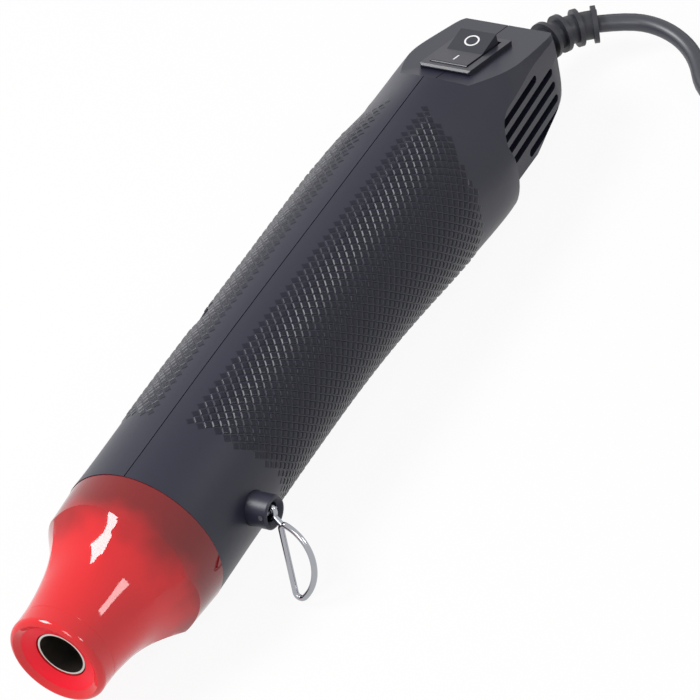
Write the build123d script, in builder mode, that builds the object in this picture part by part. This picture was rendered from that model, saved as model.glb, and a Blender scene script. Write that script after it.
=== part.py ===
from build123d import *
import os
from math import asin, atan2, cos, degrees, pi, radians, sin, sqrt, tan

# Hand-held embossing heat tool, lying on a bench at z = 0.
# The tool axis runs along Y: air leaves towards -Y, the cord leaves towards +Y, and
# the rocker switch is on top. The origin is the middle of the heel flat underneath.
# A station is a distance along the tool axis from the joint between the red nozzle
# cover and the dark body, positive towards the cord. A level is a height above the axis.

os.makedirs("parts", exist_ok=True)

# Driving sizes of the whole tool
collar_radius = 21.0        # widest plain band of the nozzle cover
body_length = 190.0         # joint face to rear face
heel_station = 148.0        # deepest place of the heel
cover_length = 41.5         # nozzle cover in front of the joint
wall = 2.0                  # moulded shells
cover_wall = 1.8            # moulded nozzle cover
cord_diameter = 4.6
seat_gap = 0.3              # between pieces that lie loosely in each other
fit_gap = 0.05              # radial clearance of a pin or shaft that turns in its hole
overrun = 1.0               # how far a cutter passes the face that it opens

axis_height = collar_radius     # heel and collar both touch the bench
cord_radius = cord_diameter / 2


def along(station):
    """Y of a station."""
    return station - heel_station


def above(level):
    """Z of a level."""
    return axis_height + level


def across(station, x=0.0, level=0.0):
    """Plane square to the tool axis, local x to the right side and local y up, facing the nozzle."""
    return Plane((x, along(station), above(level)), x_dir=(1, 0, 0), z_dir=(0, -1, 0))


def sideways(x=0.0, station=0.0, level=0.0):
    """Plane that faces the right side, local x to the cord and local y up."""
    return Plane((x, along(station), above(level)), x_dir=(0, 1, 0), z_dir=(1, 0, 0))


def level_plane(level, station=0.0):
    """Plane that faces up, local x to the right side and local y to the cord."""
    return Plane((0, along(station), above(level)), x_dir=(1, 0, 0), z_dir=(0, 0, 1))


tool_axis = Axis((0, along(0), axis_height), (0, 1, 0))
tool_side = sideways()

# Body outline
# Each row is a cross-section: station as a share of the body length, then half width,
# top, bottom and height of the widest place as shares of the collar radius, and how full
# the upper and lower corners are (0.552 is round).
round_share = 0.552
body_section_shares = [
    (0.000, 1.000, 1.010, 0.996, 0.010, round_share, round_share),
    (0.126, 0.990, 1.033, 0.948, 0.038, round_share, round_share),
    (0.253, 0.986, 1.052, 0.919, 0.067, round_share, round_share),
    (0.379, 0.986, 1.057, 0.914, 0.071, round_share, round_share),
    (0.505, 1.010, 1.057, 0.952, 0.048, round_share, 0.570),
    (0.632, 1.057, 1.057, 0.995, 0.019, 0.515, 0.650),
    (0.716, 1.081, 1.057, 1.015, 0.000, 0.430, 0.695),
    (0.779, 1.086, 1.057, 1.018, 0.000, 0.350, 0.720),
    (0.842, 0.965, 1.057, 1.015, 0.095, 0.430, 0.800),
    (0.921, 0.775, 1.040, 1.000, 0.190, 0.500, 0.850),
    (1.000, 0.600, 1.000, 1.000, 0.190, 0.520, 0.850),
]

# Sloping platform for the switch
platform_start = 149.5          # station where the steep band leaves the top
platform_start_level = 22.4
platform_front = 153.6          # station where the band meets the platform
platform_front_level = 17.98
platform_rear_level = 6.96      # at the rear face
platform_slope = atan2(platform_front_level - platform_rear_level, body_length - platform_front)

# Tail behind the heel, drawn in below and at both sides
tail_start = 151.0
tail_start_level = -23.0
tail_bend = 155.5
tail_bend_level = -16.0
tail_rear_level = -18.3
tail_bend_radius = 7.0
tail_corner_radius = 6.0
scoop_front = 148.0             # side scoop's front wall
scoop_front_half_width = 15.0   # scoop floor from the middle, at its front
scoop_rear_half_width = 13.0    # and at the rear face
scoop_bend_radius = 7.0
scoop_edge_start = 146.3        # upper edge of the scoop, seen from the side
scoop_edge_start_level = -1.0
scoop_edge_rise = 149.3
scoop_edge_rise_level = 6.4
scoop_edge_top = 157.0
scoop_edge_top_level = 9.9
scoop_edge_fall = 174.0
scoop_edge_fall_level = 8.9
scoop_edge_end_level = 5.0


def half_form(inset, side):
    """Solid outline of one half of the body, drawn in by inset on every face but the seam and the front."""
    reach = 2 * collar_radius
    with BuildPart() as form:
        for row in body_section_shares:
            station_share, width_share, top_share, bottom_share, waist_share, top_full, bottom_full = row
            station = min(station_share * body_length, body_length - inset)
            if station_share == 0:
                station = -inset
            half_width = width_share * collar_radius - inset
            top = top_share * collar_radius - inset
            bottom = inset - bottom_share * collar_radius
            waist = waist_share * collar_radius
            with BuildSketch(across(station)):
                with BuildLine():
                    Bezier(
                        (0, top),
                        (side * top_full * half_width, top),
                        (side * half_width, waist + top_full * (top - waist)),
                        (side * half_width, waist),
                    )
                    Bezier(
                        (side * half_width, waist),
                        (side * half_width, waist - bottom_full * (waist - bottom)),
                        (side * bottom_full * half_width, bottom),
                        (0, bottom),
                    )
                    Line((0, bottom), (0, top))
                make_face()
        loft()
        # Flat under the heel
        split(bisect_by=Plane.XY.offset(inset), keep=Keep.TOP)
        # Switch platform
        drop = inset / cos(platform_slope)
        rear_level = platform_rear_level - reach * tan(platform_slope) - drop
        with BuildSketch(tool_side):
            with BuildLine():
                Polyline(
                    (platform_start - inset, platform_start_level),
                    (platform_front - inset, platform_front_level + inset * tan(platform_slope) - drop),
                    (body_length + reach, rear_level),
                    (body_length + reach, reach),
                    (platform_start - inset, reach),
                    close=True,
                )
            make_face()
        extrude(amount=reach, both=True, mode=Mode.SUBTRACT)
        # Underside of the tail
        with BuildSketch(tool_side):
            with BuildLine():
                rise = FilletPolyline(
                    (tail_start, tail_start_level + inset),
                    (tail_bend, tail_bend_level + inset),
                    (body_length - inset, tail_rear_level + inset),
                    (body_length - inset, 0),
                    radius=[tail_bend_radius + inset, tail_corner_radius - inset],
                )
                Polyline(rise @ 1, (body_length + reach, 0), (body_length + reach, -reach),
                         (tail_start, -reach), rise @ 0)
            make_face()
        extrude(amount=reach, both=True, mode=Mode.SUBTRACT)
        add(scoop_cutter(inset, side), mode=Mode.SUBTRACT)
    return form.part


def scoop_cutter(inset, side):
    """What is cut away beside the tail on one side."""
    reach = 2 * collar_radius
    rear = body_length + overrun
    with BuildPart() as cutter:
        with BuildSketch(level_plane(0)):
            with BuildLine():
                plan = FilletPolyline(
                    (side * reach, scoop_front - inset),
                    (side * (scoop_front_half_width - inset), scoop_front - inset),
                    (side * (scoop_rear_half_width - inset), rear),
                    radius=[scoop_bend_radius + inset],
                )
                Polyline(plan @ 1, (side * reach, rear), plan @ 0)
            make_face()
        extrude(amount=reach, both=True)
        with BuildSketch(tool_side):
            with BuildLine():
                brow = ThreePointArc(
                    (scoop_edge_start - inset, scoop_edge_start_level),
                    (scoop_edge_rise - inset, scoop_edge_rise_level + inset),
                    (scoop_edge_top - inset, scoop_edge_top_level + inset),
                )
                fall = ThreePointArc(
                    brow @ 1,
                    (scoop_edge_fall, scoop_edge_fall_level + inset),
                    (rear + overrun, scoop_edge_end_level + inset),
                )
                Polyline(fall @ 1, (rear + overrun, -2 * reach), (scoop_edge_start - inset, -2 * reach),
                         brow @ 0)
            make_face()
        extrude(amount=2 * reach, both=True, mode=Mode.INTERSECT)
    return cutter.part


# Switch, a standard snap-in rocker on the platform
switch_station = 168.9
bezel_width = 14.5
bezel_length = 21.7
bezel_height = 1.3
bezel_chamfer = 0.5
switch_body_width = 12.6
switch_body_length = 19.4
switch_depth = 14.5
panel_gap = 0.15
switch_level = platform_front_level - (switch_station - platform_front) * tan(platform_slope)
platform_normal = (0, sin(platform_slope), cos(platform_slope))
switch_plane = Plane((0, along(switch_station), above(switch_level)), x_dir=(1, 0, 0),
                     z_dir=platform_normal)

# Strain relief at the rear wall
cord_level = -7.0
boot_neck_radius = 4.0
boot_neck_gap = 0.1

# Lug for the hanging ring
lug_station = 17.0
lug_level = 1.0
lug_radius = 4.25
lug_base = 20.6             # where the lug's foot meets the side
lug_face = 26.5             # its end face
lug_stem_radius = 2.5
lug_stem_gap = 0.1
lug_seat_depth = 0.5

# Heater barrel and its two carrying rings
barrel_radius = 13.5
barrel_wall = 0.5
barrel_front = -12.0
barrel_rear = 52.0
ring_outer_radius = 16.9
ring_groove_gap = 0.1
ring_groove_radius = ring_outer_radius + ring_groove_gap
ring_width = 3.0
front_ring_station = 1.5
rear_ring_station = 46.0
rib_bore_radius = 16.0
rib_width = 2.0

# Fan duct
duct_outer_radius = 15.9
duct_wall = 0.9
duct_front = 68.0
duct_rear = 91.5
duct_flange_radius = 16.9
duct_flange_front = 76.0
duct_flange_width = 2.4
duct_rib_bore_radius = 16.2

# Motor
motor_radius = 12.2
motor_front = duct_rear
motor_rear = 119.0
motor_rib_front = 108.0

# Spigot that carries the nozzle cover
spigot_length = 5.0
spigot_gap = 0.35
spigot_radius = collar_radius - cover_wall - spigot_gap

# Screws that hold the halves together, each along X
screw_boss_radius = 2.7
screw_well_wall = 1.1
screw_places = [(60.0, -14.5), (60.0, 14.5), (142.5, -13.0)]       # station and level
screw_shank_radius = 1.2
screw_clear_gap = 0.3
screw_head_radius = 2.6
screw_head_height = 1.8
screw_head_gap = 0.3
screw_well_radius = screw_head_radius + screw_head_gap
screw_head_x = -8.0             # underside of the head
screw_tip_x = 7.0
screw_recess_width = 0.8
screw_recess_depth = 1.0

# Vent slots in the scoop floor, five on each side
slot_pitch = 4.2
slot_width = 2.3
slot_count = 5
slot_top_level = 2.5
slot_front = 152.5
slot_rear = 185.5
slot_first_rear = 177.5         # the top one is shorter behind
slot_last_front = 166.5         # and the bottom one in front

# Label plate in a shallow oval recess on the left
label_station = 133.0
label_turn = 62.0               # degrees from the top to the left
label_length = 30.0
label_height = 15.0
label_recess_depth = 0.8
label_thickness = 0.5
label_gap = 0.3
label_seat_gap = 0.1

# Cord clamp on two posts of the left shell
clamp_station = 179.5
clamp_width = 5.0
clamp_length = 15.0
clamp_depth = 4.6
clamp_screw_offset = 5.2
clamp_post_radius = 2.1
clamp_screw_radius = 1.0
clamp_screw_head_radius = 1.9
clamp_screw_head_height = 1.4
clamp_screw_tip_x = -6.0
clamp_slot_width = 0.6
inner_cord_length = 14.0


# Nozzle cover: petal sections as distance in front of the joint, ridge radius and valley radius
petal_sections = [
    (7.0, 23.00, 22.20),
    (12.0, 20.10, 19.00),
    (16.0, 17.75, 16.50),
    (20.0, 15.75, 14.90),
    (24.0, 14.30, 14.00),
    (28.0, 13.40, 13.35),
    (33.0, 12.75, 12.74),
    (38.5, 12.60, 12.59),
]
petal_count = 6
petal_turn = 15.0               # degrees from the top to the first ridge
band_taper_length = 14.0
band_front_radius = 20.2
lip_radius = 12.6
lip_start = 36.0
lip_bend = 39.5
lip_mid = 41.0
lip_mid_radius = 12.2
lip_front_radius = 11.3
dish_edge = 40.4
dish_edge_radius = 9.8
dish_floor = 38.9
dish_floor_thickness = 1.7
mouth_radius = 6.6
cover_socket_depth = 6.0

# Heater tube
outlet_radius = 6.27
outlet_front = -38.6
outlet_rear = -24.5
cone_step = barrel_wall * tan(atan2(barrel_radius - outlet_radius, barrel_front - outlet_rear) / 2)
ring_hole_radius = 1.0
ring_hole_circle = 15.4
ring_hole_count = 8

# Mica parts and winding
mica_thickness = 0.4
mica_front = -8.0
mica_rear = 50.0
mica_radius = barrel_radius - barrel_wall - seat_gap
board_thickness = 0.8
board_front = -6.0
board_rear = 48.0
board_half_width = mica_radius - mica_thickness - seat_gap
board_slot_gap = 0.1
wire_radius = 0.35
wire_turns = 9
wire_pitch = 4.5
wire_front = -3.0
wire_corner_radius = 1.0
wire_corner_distance = 11.4
notch_depth = board_half_width - wire_corner_distance + (sqrt(2) - 1) * wire_corner_radius
notch_depth = notch_depth + wire_radius + seat_gap
notch_width = 2 * (wire_radius + seat_gap)
fuse_radius = 2.0
fuse_front = 37.5
fuse_length = 9.0
fuse_lead_length = 2.5
fuse_seat = board_thickness / 2 + seat_gap + fuse_radius

# Fan
duct_hub_radius = 10.5
duct_hub_thickness = 2.5
duct_hub_hole_radius = 3.3
spoke_width = 2.4
spoke_count = 4
motor_screw_offset = 8.0
motor_screw_radius = 1.25
motor_screw_head_radius = 2.2
motor_screw_head_height = 1.5
motor_screw_length = 5.0
impeller_front = 72.0
impeller_length = 12.0
impeller_radius = 14.0
impeller_hub_radius = 5.0
blade_count = 7
blade_thickness = 1.0
blade_chord = 12.4
blade_pitch = 35.0              # degrees from the shaft
shaft_radius = 1.0
shaft_front = 70.0
shaft_rear = 124.0

# Motor parts
can_wall = 1.0
can_boss_radius = 3.0
can_boss_length = 1.8
armature_front = 98.0
armature_length = 18.0
armature_radius = 8.6
armature_slot_width = 2.2
armature_slot_depth = 3.6
armature_slot_count = 3
commutator_radius = 2.4
commutator_length = 2.5
magnet_inner_radius = 9.2
magnet_outer_radius = motor_radius - can_wall - seat_gap
magnet_front = 99.0
magnet_length = 16.0
magnet_spread = 120.0           # degrees covered by each magnet
cap_thickness = 2.0
cap_boss_radius = 3.0
cap_boss_length = 1.5
motor_blade_thickness = 0.5
motor_blade_width = 2.8
motor_blade_length = 7.4
motor_blade_offset = 7.0
circuit_station = 126.0
circuit_radius = 10.5
circuit_thickness = 1.6
diode_radius = 1.35
diode_length = 5.0
diode_spacing_x = 7.0
diode_spacing_level = 3.6
diode_level = -5.0
capacitor_radius = 3.0
capacitor_length = 8.0
capacitor_level = 5.4

# Inside of the switch and its rocker
switch_cavity_width = 10.8
switch_cavity_length = 18.0
switch_cavity_depth = 8.0
rocker_width = 10.2
rocker_pivot_depth = 2.0        # below the platform
rocker_tilt = 9.5               # degrees, at rest with its front end pressed
rocker_top_half = 7.9
rocker_top_height = 5.0
rocker_valley_height = 3.6
rocker_end_half = 8.2
rocker_end_height = 1.0
rocker_foot_half = 3.0
rocker_foot_depth = 2.5
rocker_edge_radius = 0.5
trunnion_radius = 1.3
trunnion_length = 0.8
switch_blade_width = 6.3
switch_blade_thickness = 0.8
switch_blade_length = 7.5
switch_blade_offset = 5.0

# Hanging ring and its lug
ring_hinge_x = 24.9
ring_lean = radians(19.2)
lug_bore_radius = 2.5
lug_bore_depth = 4.4
lug_mouth_radius = 3.5
lug_edge = 0.4
lug_stem_end = 16.2
clip_radius = 4.2
clip_face = 18.0
clip_thickness = 1.2
pin_radius = 0.65
pin_length = 8.0
ring_wire_radius = 0.75
eye_radius = pin_radius + fit_gap + ring_wire_radius
ring_top = (2.8, 2.3)           # out from the hinge and down along the ring
ring_foot = (6.8, 22.1)
ring_bow = (11.56, 10.83)
ring_neck_reach = 0.8           # the neck runs this far past the corner it ends in
ring_top_radius = 1.0
ring_foot_radius = 1.5

# Strain relief
boot_flange_radius = 5.4
boot_flange_width = 1.5
boot_shoulder_width = 1.5
boot_core_radius = 3.8
boot_drop = radians(8.75)
boot_straight = 10.0
boot_bend_radius = 18.8
boot_bend = 60.0                # degrees towards the right
boot_rib_count = 6
boot_rib_radius = 5.45
boot_rib_taper = 0.1            # each rib is this much smaller than the one before
boot_rib_width = 1.3
boot_rib_pitch = 4.8
boot_rib_start = 4.2

# Cord from the strain relief to the coil: a straight run out of the boot, then x, station and
# level of each corner of its route
cord_first_run = 8.0
cord_corners = [
    (24.28, 221.00, -12.60),
    (32.03, 219.00, -14.20),
    (38.46, 214.24, -16.00),
    (43.20, 206.50, -17.70),
    (51.00, 201.62, -18.40),
    (60.16, 200.74, -18.60),
    (68.75, 204.04, -18.60),
    (74.97, 210.82, -18.60),
    (77.51, 219.66, -18.60),
    (75.40, 231.40, -18.60),
    (73.80, 243.40, -18.30),
    (73.10, 255.50, -17.80),
]
bend_share = 0.48               # of the shorter run beside a corner, taken by its arc
coil_gap = 0.6
coil_pitch = cord_diameter + coil_gap
coil_inner_radius = 18.5
coil_turns_a_layer = 7          # half turns
coil_start = (76.4, 266.4)      # x and station
coil_tail_length = 11.0         # straight end in front of the plug
tie_thickness = 0.6
tie_width = 6.0
tie_inner_reach = 16.6
tie_level = tie_thickness + seat_gap + cord_radius - axis_height

# Plug, a moulded two-blade plug of the North American pattern
plug_width = 20.0
plug_height = 2 * (axis_height + tie_level + coil_pitch)
plug_length = 18.0
plug_neck_width = 11.0
plug_neck_height = 9.0
plug_shoulder_length = 6.0
plug_edge_radius = 3.5
plug_boot_radius = 3.7
plug_boot_length = 13.0
plug_rib_count = 4
plug_rib_radius = 4.5
plug_rib_width = 1.4
plug_rib_pitch = 2.8
blade_offset = 6.35
blade_width = 6.35
blade_metal = 1.5
blade_length = 14.0
blade_seat = 6.0
blade_seat_gap = 0.1


def label_plane():
    """Plane that faces out of the body at the label, local x to the cord."""
    turn = radians(label_turn)
    outward = (-sin(turn), 0, cos(turn))
    return Plane((0, along(label_station), axis_height), x_dir=(0, 1, 0), z_dir=outward)


def grooved_rib(skin, front, width, bore_radius, groove_front, groove_width, groove_radius):
    """Rib across one half of the body with a groove that holds a ring or a flange."""
    with BuildPart() as rib:
        add(skin)
        with BuildSketch(across(front + width)):
            Circle(2 * collar_radius)
        extrude(amount=width, mode=Mode.INTERSECT)
        with BuildSketch(across(front + width + overrun)):
            Circle(bore_radius)
        extrude(amount=width + 2 * overrun, mode=Mode.SUBTRACT)
        with BuildSketch(across(groove_front + groove_width)):
            Circle(groove_radius)
        extrude(amount=groove_width, mode=Mode.SUBTRACT)
    return rib.part


def shell_half(side):
    """One moulded half of the body; side is 1 for the right and -1 for the left."""
    skin = half_form(wall / 2, side)
    side_keep = Keep.TOP if side > 0 else Keep.BOTTOM
    with BuildPart() as spigot:
        with BuildSketch(tool_side):
            with BuildLine():
                Polyline(
                    (-spigot_length, rib_bore_radius),
                    (-spigot_length, spigot_radius),
                    (0, spigot_radius),
                    (0, collar_radius - wall / 2),
                    (front_ring_station + ring_width + rib_width, collar_radius - wall / 2),
                    (front_ring_station + ring_width + rib_width, rib_bore_radius),
                    (front_ring_station + ring_width + ring_groove_gap, rib_bore_radius),
                    (front_ring_station + ring_width + ring_groove_gap, ring_groove_radius),
                    (front_ring_station - ring_groove_gap, ring_groove_radius),
                    (front_ring_station - ring_groove_gap, rib_bore_radius),
                    close=True,
                )
            make_face()
        revolve(axis=tool_axis)
        split(bisect_by=Plane.YZ, keep=side_keep)
    ribs = [
        grooved_rib(skin, rear_ring_station - rib_width, ring_width + 2 * rib_width, rib_bore_radius,
                    rear_ring_station - ring_groove_gap, ring_width + 2 * ring_groove_gap,
                    ring_groove_radius),
        grooved_rib(skin, duct_flange_front - rib_width, duct_flange_width + 2 * rib_width,
                    duct_rib_bore_radius, duct_flange_front - ring_groove_gap,
                    duct_flange_width + 2 * ring_groove_gap, duct_flange_radius + ring_groove_gap),
        grooved_rib(skin, motor_rib_front, rib_width, motor_radius + ring_groove_gap,
                    motor_rib_front, rib_width, motor_radius + ring_groove_gap),
    ]
    bosses = []
    for station, level in screw_places:
        with BuildPart() as boss:
            add(skin)
            with BuildSketch(sideways(0, station, level)):
                Circle(screw_boss_radius if side > 0 else screw_well_radius + screw_well_wall)
            extrude(amount=2 * collar_radius, both=True, mode=Mode.INTERSECT)
        bosses.append(boss.part)
    with BuildPart() as label_cutter:
        with BuildSketch(label_plane()):
            Ellipse(label_length / 2 + label_gap, label_height / 2 + label_gap)
        extrude(amount=2 * collar_radius)
        add(half_form(label_recess_depth, -1), mode=Mode.SUBTRACT)
    with BuildPart() as shell:
        add(half_form(0, side))
        add(half_form(wall, side), mode=Mode.SUBTRACT)
        add(spigot.part)
        for rib in ribs:
            add(rib)
        for boss in bosses:
            add(boss)
        if side < 0:
            # Posts for the cord clamp
            with BuildSketch(sideways(wall / 2 - scoop_rear_half_width, clamp_station, cord_level)):
                with Locations((0, clamp_screw_offset), (0, -clamp_screw_offset)):
                    Circle(clamp_post_radius)
            extrude(amount=scoop_rear_half_width - wall / 2)
            with BuildSketch(sideways(clamp_screw_tip_x - seat_gap, clamp_station, cord_level)):
                with Locations((0, clamp_screw_offset), (0, -clamp_screw_offset)):
                    Circle(clamp_screw_radius + fit_gap)
            extrude(amount=seat_gap - clamp_screw_tip_x, mode=Mode.SUBTRACT)
            # Heads and shanks of the case screws pass through the left half
            for station, level in screw_places:
                with BuildSketch(sideways(-2 * collar_radius, station, level)):
                    Circle(screw_well_radius)
                extrude(amount=2 * collar_radius + screw_head_x, mode=Mode.SUBTRACT)
                with BuildSketch(sideways(screw_head_x - overrun, station, level)):
                    Circle(screw_shank_radius + screw_clear_gap)
                extrude(amount=2 * overrun - screw_head_x, mode=Mode.SUBTRACT)
            add(label_cutter.part, mode=Mode.SUBTRACT)
        else:
            # Pilot holes of the case screws
            for station, level in screw_places:
                with BuildSketch(sideways(-overrun, station, level)):
                    Circle(screw_shank_radius + fit_gap)
                extrude(amount=overrun + screw_tip_x + seat_gap, mode=Mode.SUBTRACT)
            # Stem and foot of the lug
            with BuildSketch(sideways(collar_radius - 2 * wall, lug_station, lug_level)):
                Circle(lug_stem_radius + lug_stem_gap)
            extrude(amount=3 * wall, mode=Mode.SUBTRACT)
            with BuildSketch(sideways(lug_base - lug_seat_depth, lug_station, lug_level)):
                Circle(lug_radius + lug_stem_gap)
            extrude(amount=2 * wall, mode=Mode.SUBTRACT)
        # Panel opening of the switch
        with BuildSketch(switch_plane):
            Rectangle(switch_body_width + 2 * panel_gap, switch_body_length + 2 * panel_gap)
        extrude(amount=3 * wall, both=True, mode=Mode.SUBTRACT)
        # Vent slots
        for index in range(slot_count):
            level = slot_top_level - index * slot_pitch
            front = slot_last_front if index == slot_count - 1 else slot_front
            rear = slot_first_rear if index == 0 else slot_rear
            with BuildSketch(sideways(side * scoop_front_half_width / 2, (front + rear) / 2, level)):
                SlotOverall(rear - front, slot_width)
            extrude(amount=side * collar_radius, mode=Mode.SUBTRACT)
        # Hole of the strain relief
        with BuildSketch(across(body_length + overrun, 0, cord_level)):
            Circle(boot_neck_radius + boot_neck_gap)
        extrude(amount=wall + 2 * overrun, mode=Mode.SUBTRACT)
    return shell.part


with BuildPart() as left_shell:
    add(shell_half(-1))
left_shell.part.label = "left_shell"
export_step(left_shell.part, "parts/left_shell.step")

with BuildPart() as right_shell:
    add(shell_half(1))
right_shell.part.label = "right_shell"
export_step(right_shell.part, "parts/right_shell.step")


def petal_form(inset, front):
    """Solid outline of the six-sided front of the nozzle cover, drawn in by inset."""
    with BuildPart() as form:
        for forward, ridge, valley in petal_sections:
            with BuildSketch(across(-min(forward, front))):
                with BuildLine():
                    for index in range(petal_count):
                        turn = radians(petal_turn + index * 360 / petal_count)
                        half = radians(180 / petal_count)
                        ThreePointArc(
                            ((ridge - inset) * sin(turn), (ridge - inset) * cos(turn)),
                            ((valley - inset) * sin(turn + half), (valley - inset) * cos(turn + half)),
                            ((ridge - inset) * sin(turn + 2 * half), (ridge - inset) * cos(turn + 2 * half)),
                        )
                make_face()
        loft()
        with BuildSketch(tool_side):
            with BuildLine():
                Polyline(
                    (0, 0),
                    (0, collar_radius - inset),
                    (-band_taper_length, band_front_radius - inset),
                    (-2 * band_taper_length, band_front_radius - inset),
                    (-2 * band_taper_length - collar_radius, 0),
                    close=True,
                )
            make_face()
        revolve(axis=tool_axis, mode=Mode.INTERSECT)
    return form.part


with BuildPart() as nozzle_cover:
    add(petal_form(0, cover_length))
    petal_start = petal_sections[0][0]
    taper = (collar_radius - band_front_radius) / band_taper_length
    # Plain band behind the petals, then the rolled lip with its dished front
    with BuildSketch(tool_side):
        with BuildLine():
            Polyline((0, 0), (0, collar_radius), (-petal_start, collar_radius - taper * petal_start),
                     (-petal_start, 0), close=True)
        make_face()
    revolve(axis=tool_axis)
    with BuildSketch(tool_side):
        with BuildLine():
            lip = ThreePointArc((-lip_bend, lip_radius), (-lip_mid, lip_mid_radius),
                                (-cover_length, lip_front_radius))
            Polyline(lip @ 1, (-dish_edge, dish_edge_radius), (-dish_floor, mouth_radius),
                     (-dish_floor, 0), (-lip_start, 0), (-lip_start, lip_radius), lip @ 0)
        make_face()
    revolve(axis=tool_axis)
    add(petal_form(cover_wall, dish_floor - dish_floor_thickness), mode=Mode.SUBTRACT)
    with BuildSketch(tool_side):
        with BuildLine():
            Polyline(
                (0, 0),
                (0, collar_radius - cover_wall),
                (-cover_socket_depth, collar_radius - cover_wall),
                (-petal_start - overrun, collar_radius - cover_wall - taper * (petal_start + overrun)),
                (-petal_start - overrun, 0),
                close=True,
            )
        make_face()
    revolve(axis=tool_axis, mode=Mode.SUBTRACT)
    with BuildSketch(across(0)):
        Circle(mouth_radius)
    extrude(amount=2 * cover_length, mode=Mode.SUBTRACT)
nozzle_cover.part.label = "nozzle_cover"
export_step(nozzle_cover.part, "parts/nozzle_cover.step")

# Heater

with BuildPart() as heater_tube:
    with BuildSketch(tool_side):
        with BuildLine():
            Polyline(
                (outlet_front, outlet_radius),
                (outlet_rear, outlet_radius),
                (barrel_front, barrel_radius),
                (barrel_rear, barrel_radius),
                (barrel_rear, barrel_radius - barrel_wall),
                (barrel_front + cone_step, barrel_radius - barrel_wall),
                (outlet_rear + cone_step, outlet_radius - barrel_wall),
                (outlet_front, outlet_radius - barrel_wall),
                close=True,
            )
        make_face()
    revolve(axis=tool_axis)
heater_tube.part.label = "heater_tube"
export_step(heater_tube.part, "parts/heater_tube.step")

for end, station in (("front", front_ring_station), ("rear", rear_ring_station)):
    with BuildPart() as barrel_ring:
        with BuildSketch(across(station + ring_width)):
            Circle(ring_outer_radius)
            Circle(barrel_radius + seat_gap, mode=Mode.SUBTRACT)
            with PolarLocations(ring_hole_circle, ring_hole_count):
                Circle(ring_hole_radius, mode=Mode.SUBTRACT)
        extrude(amount=ring_width)
    barrel_ring.part.label = "barrel_ring_" + end
    export_step(barrel_ring.part, "parts/barrel_ring_" + end + ".step")

with BuildPart() as mica_sleeve:
    with BuildSketch(across(mica_rear)):
        Circle(mica_radius)
        Circle(mica_radius - mica_thickness, mode=Mode.SUBTRACT)
    extrude(amount=mica_rear - mica_front)
mica_sleeve.part.label = "mica_sleeve"
export_step(mica_sleeve.part, "parts/mica_sleeve.step")

board_middle = (board_front + board_rear) / 2
for name, plane, first_notch in (("a", level_plane(0, board_middle), 0), ("b", sideways(0, board_middle), 1)):
    board_length = board_rear - board_front
    flat = name == "a"
    with BuildPart() as heater_board:
        with BuildSketch(plane):
            if flat:
                Rectangle(2 * board_half_width, board_length)
                across_slot = (board_thickness + 2 * board_slot_gap, board_length / 2 + board_slot_gap)
                slot_place = (0, -board_length / 4)
            else:
                Rectangle(board_length, 2 * board_half_width)
                across_slot = (board_length / 2 + board_slot_gap, board_thickness + 2 * board_slot_gap)
                slot_place = (board_length / 4, 0)
            with Locations(slot_place):
                Rectangle(*across_slot, mode=Mode.SUBTRACT)
            for corner in range(first_notch, 4 * wire_turns + 1, 2):
                place = wire_front + corner * wire_pitch / 4 - board_middle
                sign = 1 if corner % 4 < 2 else -1
                edge = sign * (board_half_width - notch_depth / 2)
                with Locations((edge, place) if flat else (place, edge)):
                    Rectangle(notch_depth if flat else notch_width, notch_width if flat else notch_depth,
                              mode=Mode.SUBTRACT)
        extrude(amount=board_thickness / 2, both=True)
    heater_board.part.label = "heater_board_" + name
    export_step(heater_board.part, "parts/heater_board_" + name + ".step")

# The winding runs from edge to edge of the two boards as one wire
wire_points = []
for corner in range(4 * wire_turns + 1):
    turn = pi / 2 * corner
    wire_points.append((
        wire_corner_distance * cos(turn),
        along(wire_front + corner * wire_pitch / 4),
        above(wire_corner_distance * sin(turn)),
    ))
with BuildPart() as heater_winding:
    with BuildLine() as wire_path:
        FilletPolyline(*wire_points, radius=wire_corner_radius)
    with BuildSketch(Plane(wire_path.line @ 0, z_dir=wire_path.line % 0)):
        Circle(wire_radius)
    sweep(path=wire_path.line)
heater_winding.part.label = "heater_winding"
export_step(heater_winding.part, "parts/heater_winding.step")

with BuildPart() as thermal_fuse:
    with BuildSketch(across(fuse_front + fuse_length, fuse_seat, fuse_seat)):
        Circle(fuse_radius)
    extrude(amount=fuse_length)
    with BuildSketch(across(fuse_front + fuse_length + fuse_lead_length, fuse_seat, fuse_seat)):
        Circle(wire_radius)
    extrude(amount=fuse_length + 2 * fuse_lead_length)
thermal_fuse.part.label = "thermal_fuse"
export_step(thermal_fuse.part, "parts/thermal_fuse.step")

# Fan and motor

with BuildPart() as fan_duct:
    with BuildSketch(across(duct_rear)):
        Circle(duct_outer_radius)
        Circle(duct_outer_radius - duct_wall, mode=Mode.SUBTRACT)
    extrude(amount=duct_rear - duct_front)
    with BuildSketch(across(duct_flange_front + duct_flange_width)):
        Circle(duct_flange_radius)
        Circle(duct_outer_radius - duct_wall / 2, mode=Mode.SUBTRACT)
    extrude(amount=duct_flange_width)
    with BuildSketch(across(duct_rear)):
        Circle(duct_hub_radius)
        spoke_reach = duct_outer_radius - duct_wall / 2
        with PolarLocations(spoke_reach / 2, spoke_count):
            Rectangle(spoke_reach, spoke_width)
        Circle(duct_hub_hole_radius, mode=Mode.SUBTRACT)
        with Locations((motor_screw_offset, 0), (-motor_screw_offset, 0)):
            Circle(motor_screw_radius + fit_gap, mode=Mode.SUBTRACT)
    extrude(amount=duct_hub_thickness)
fan_duct.part.label = "fan_duct"
export_step(fan_duct.part, "parts/fan_duct.step")

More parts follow.
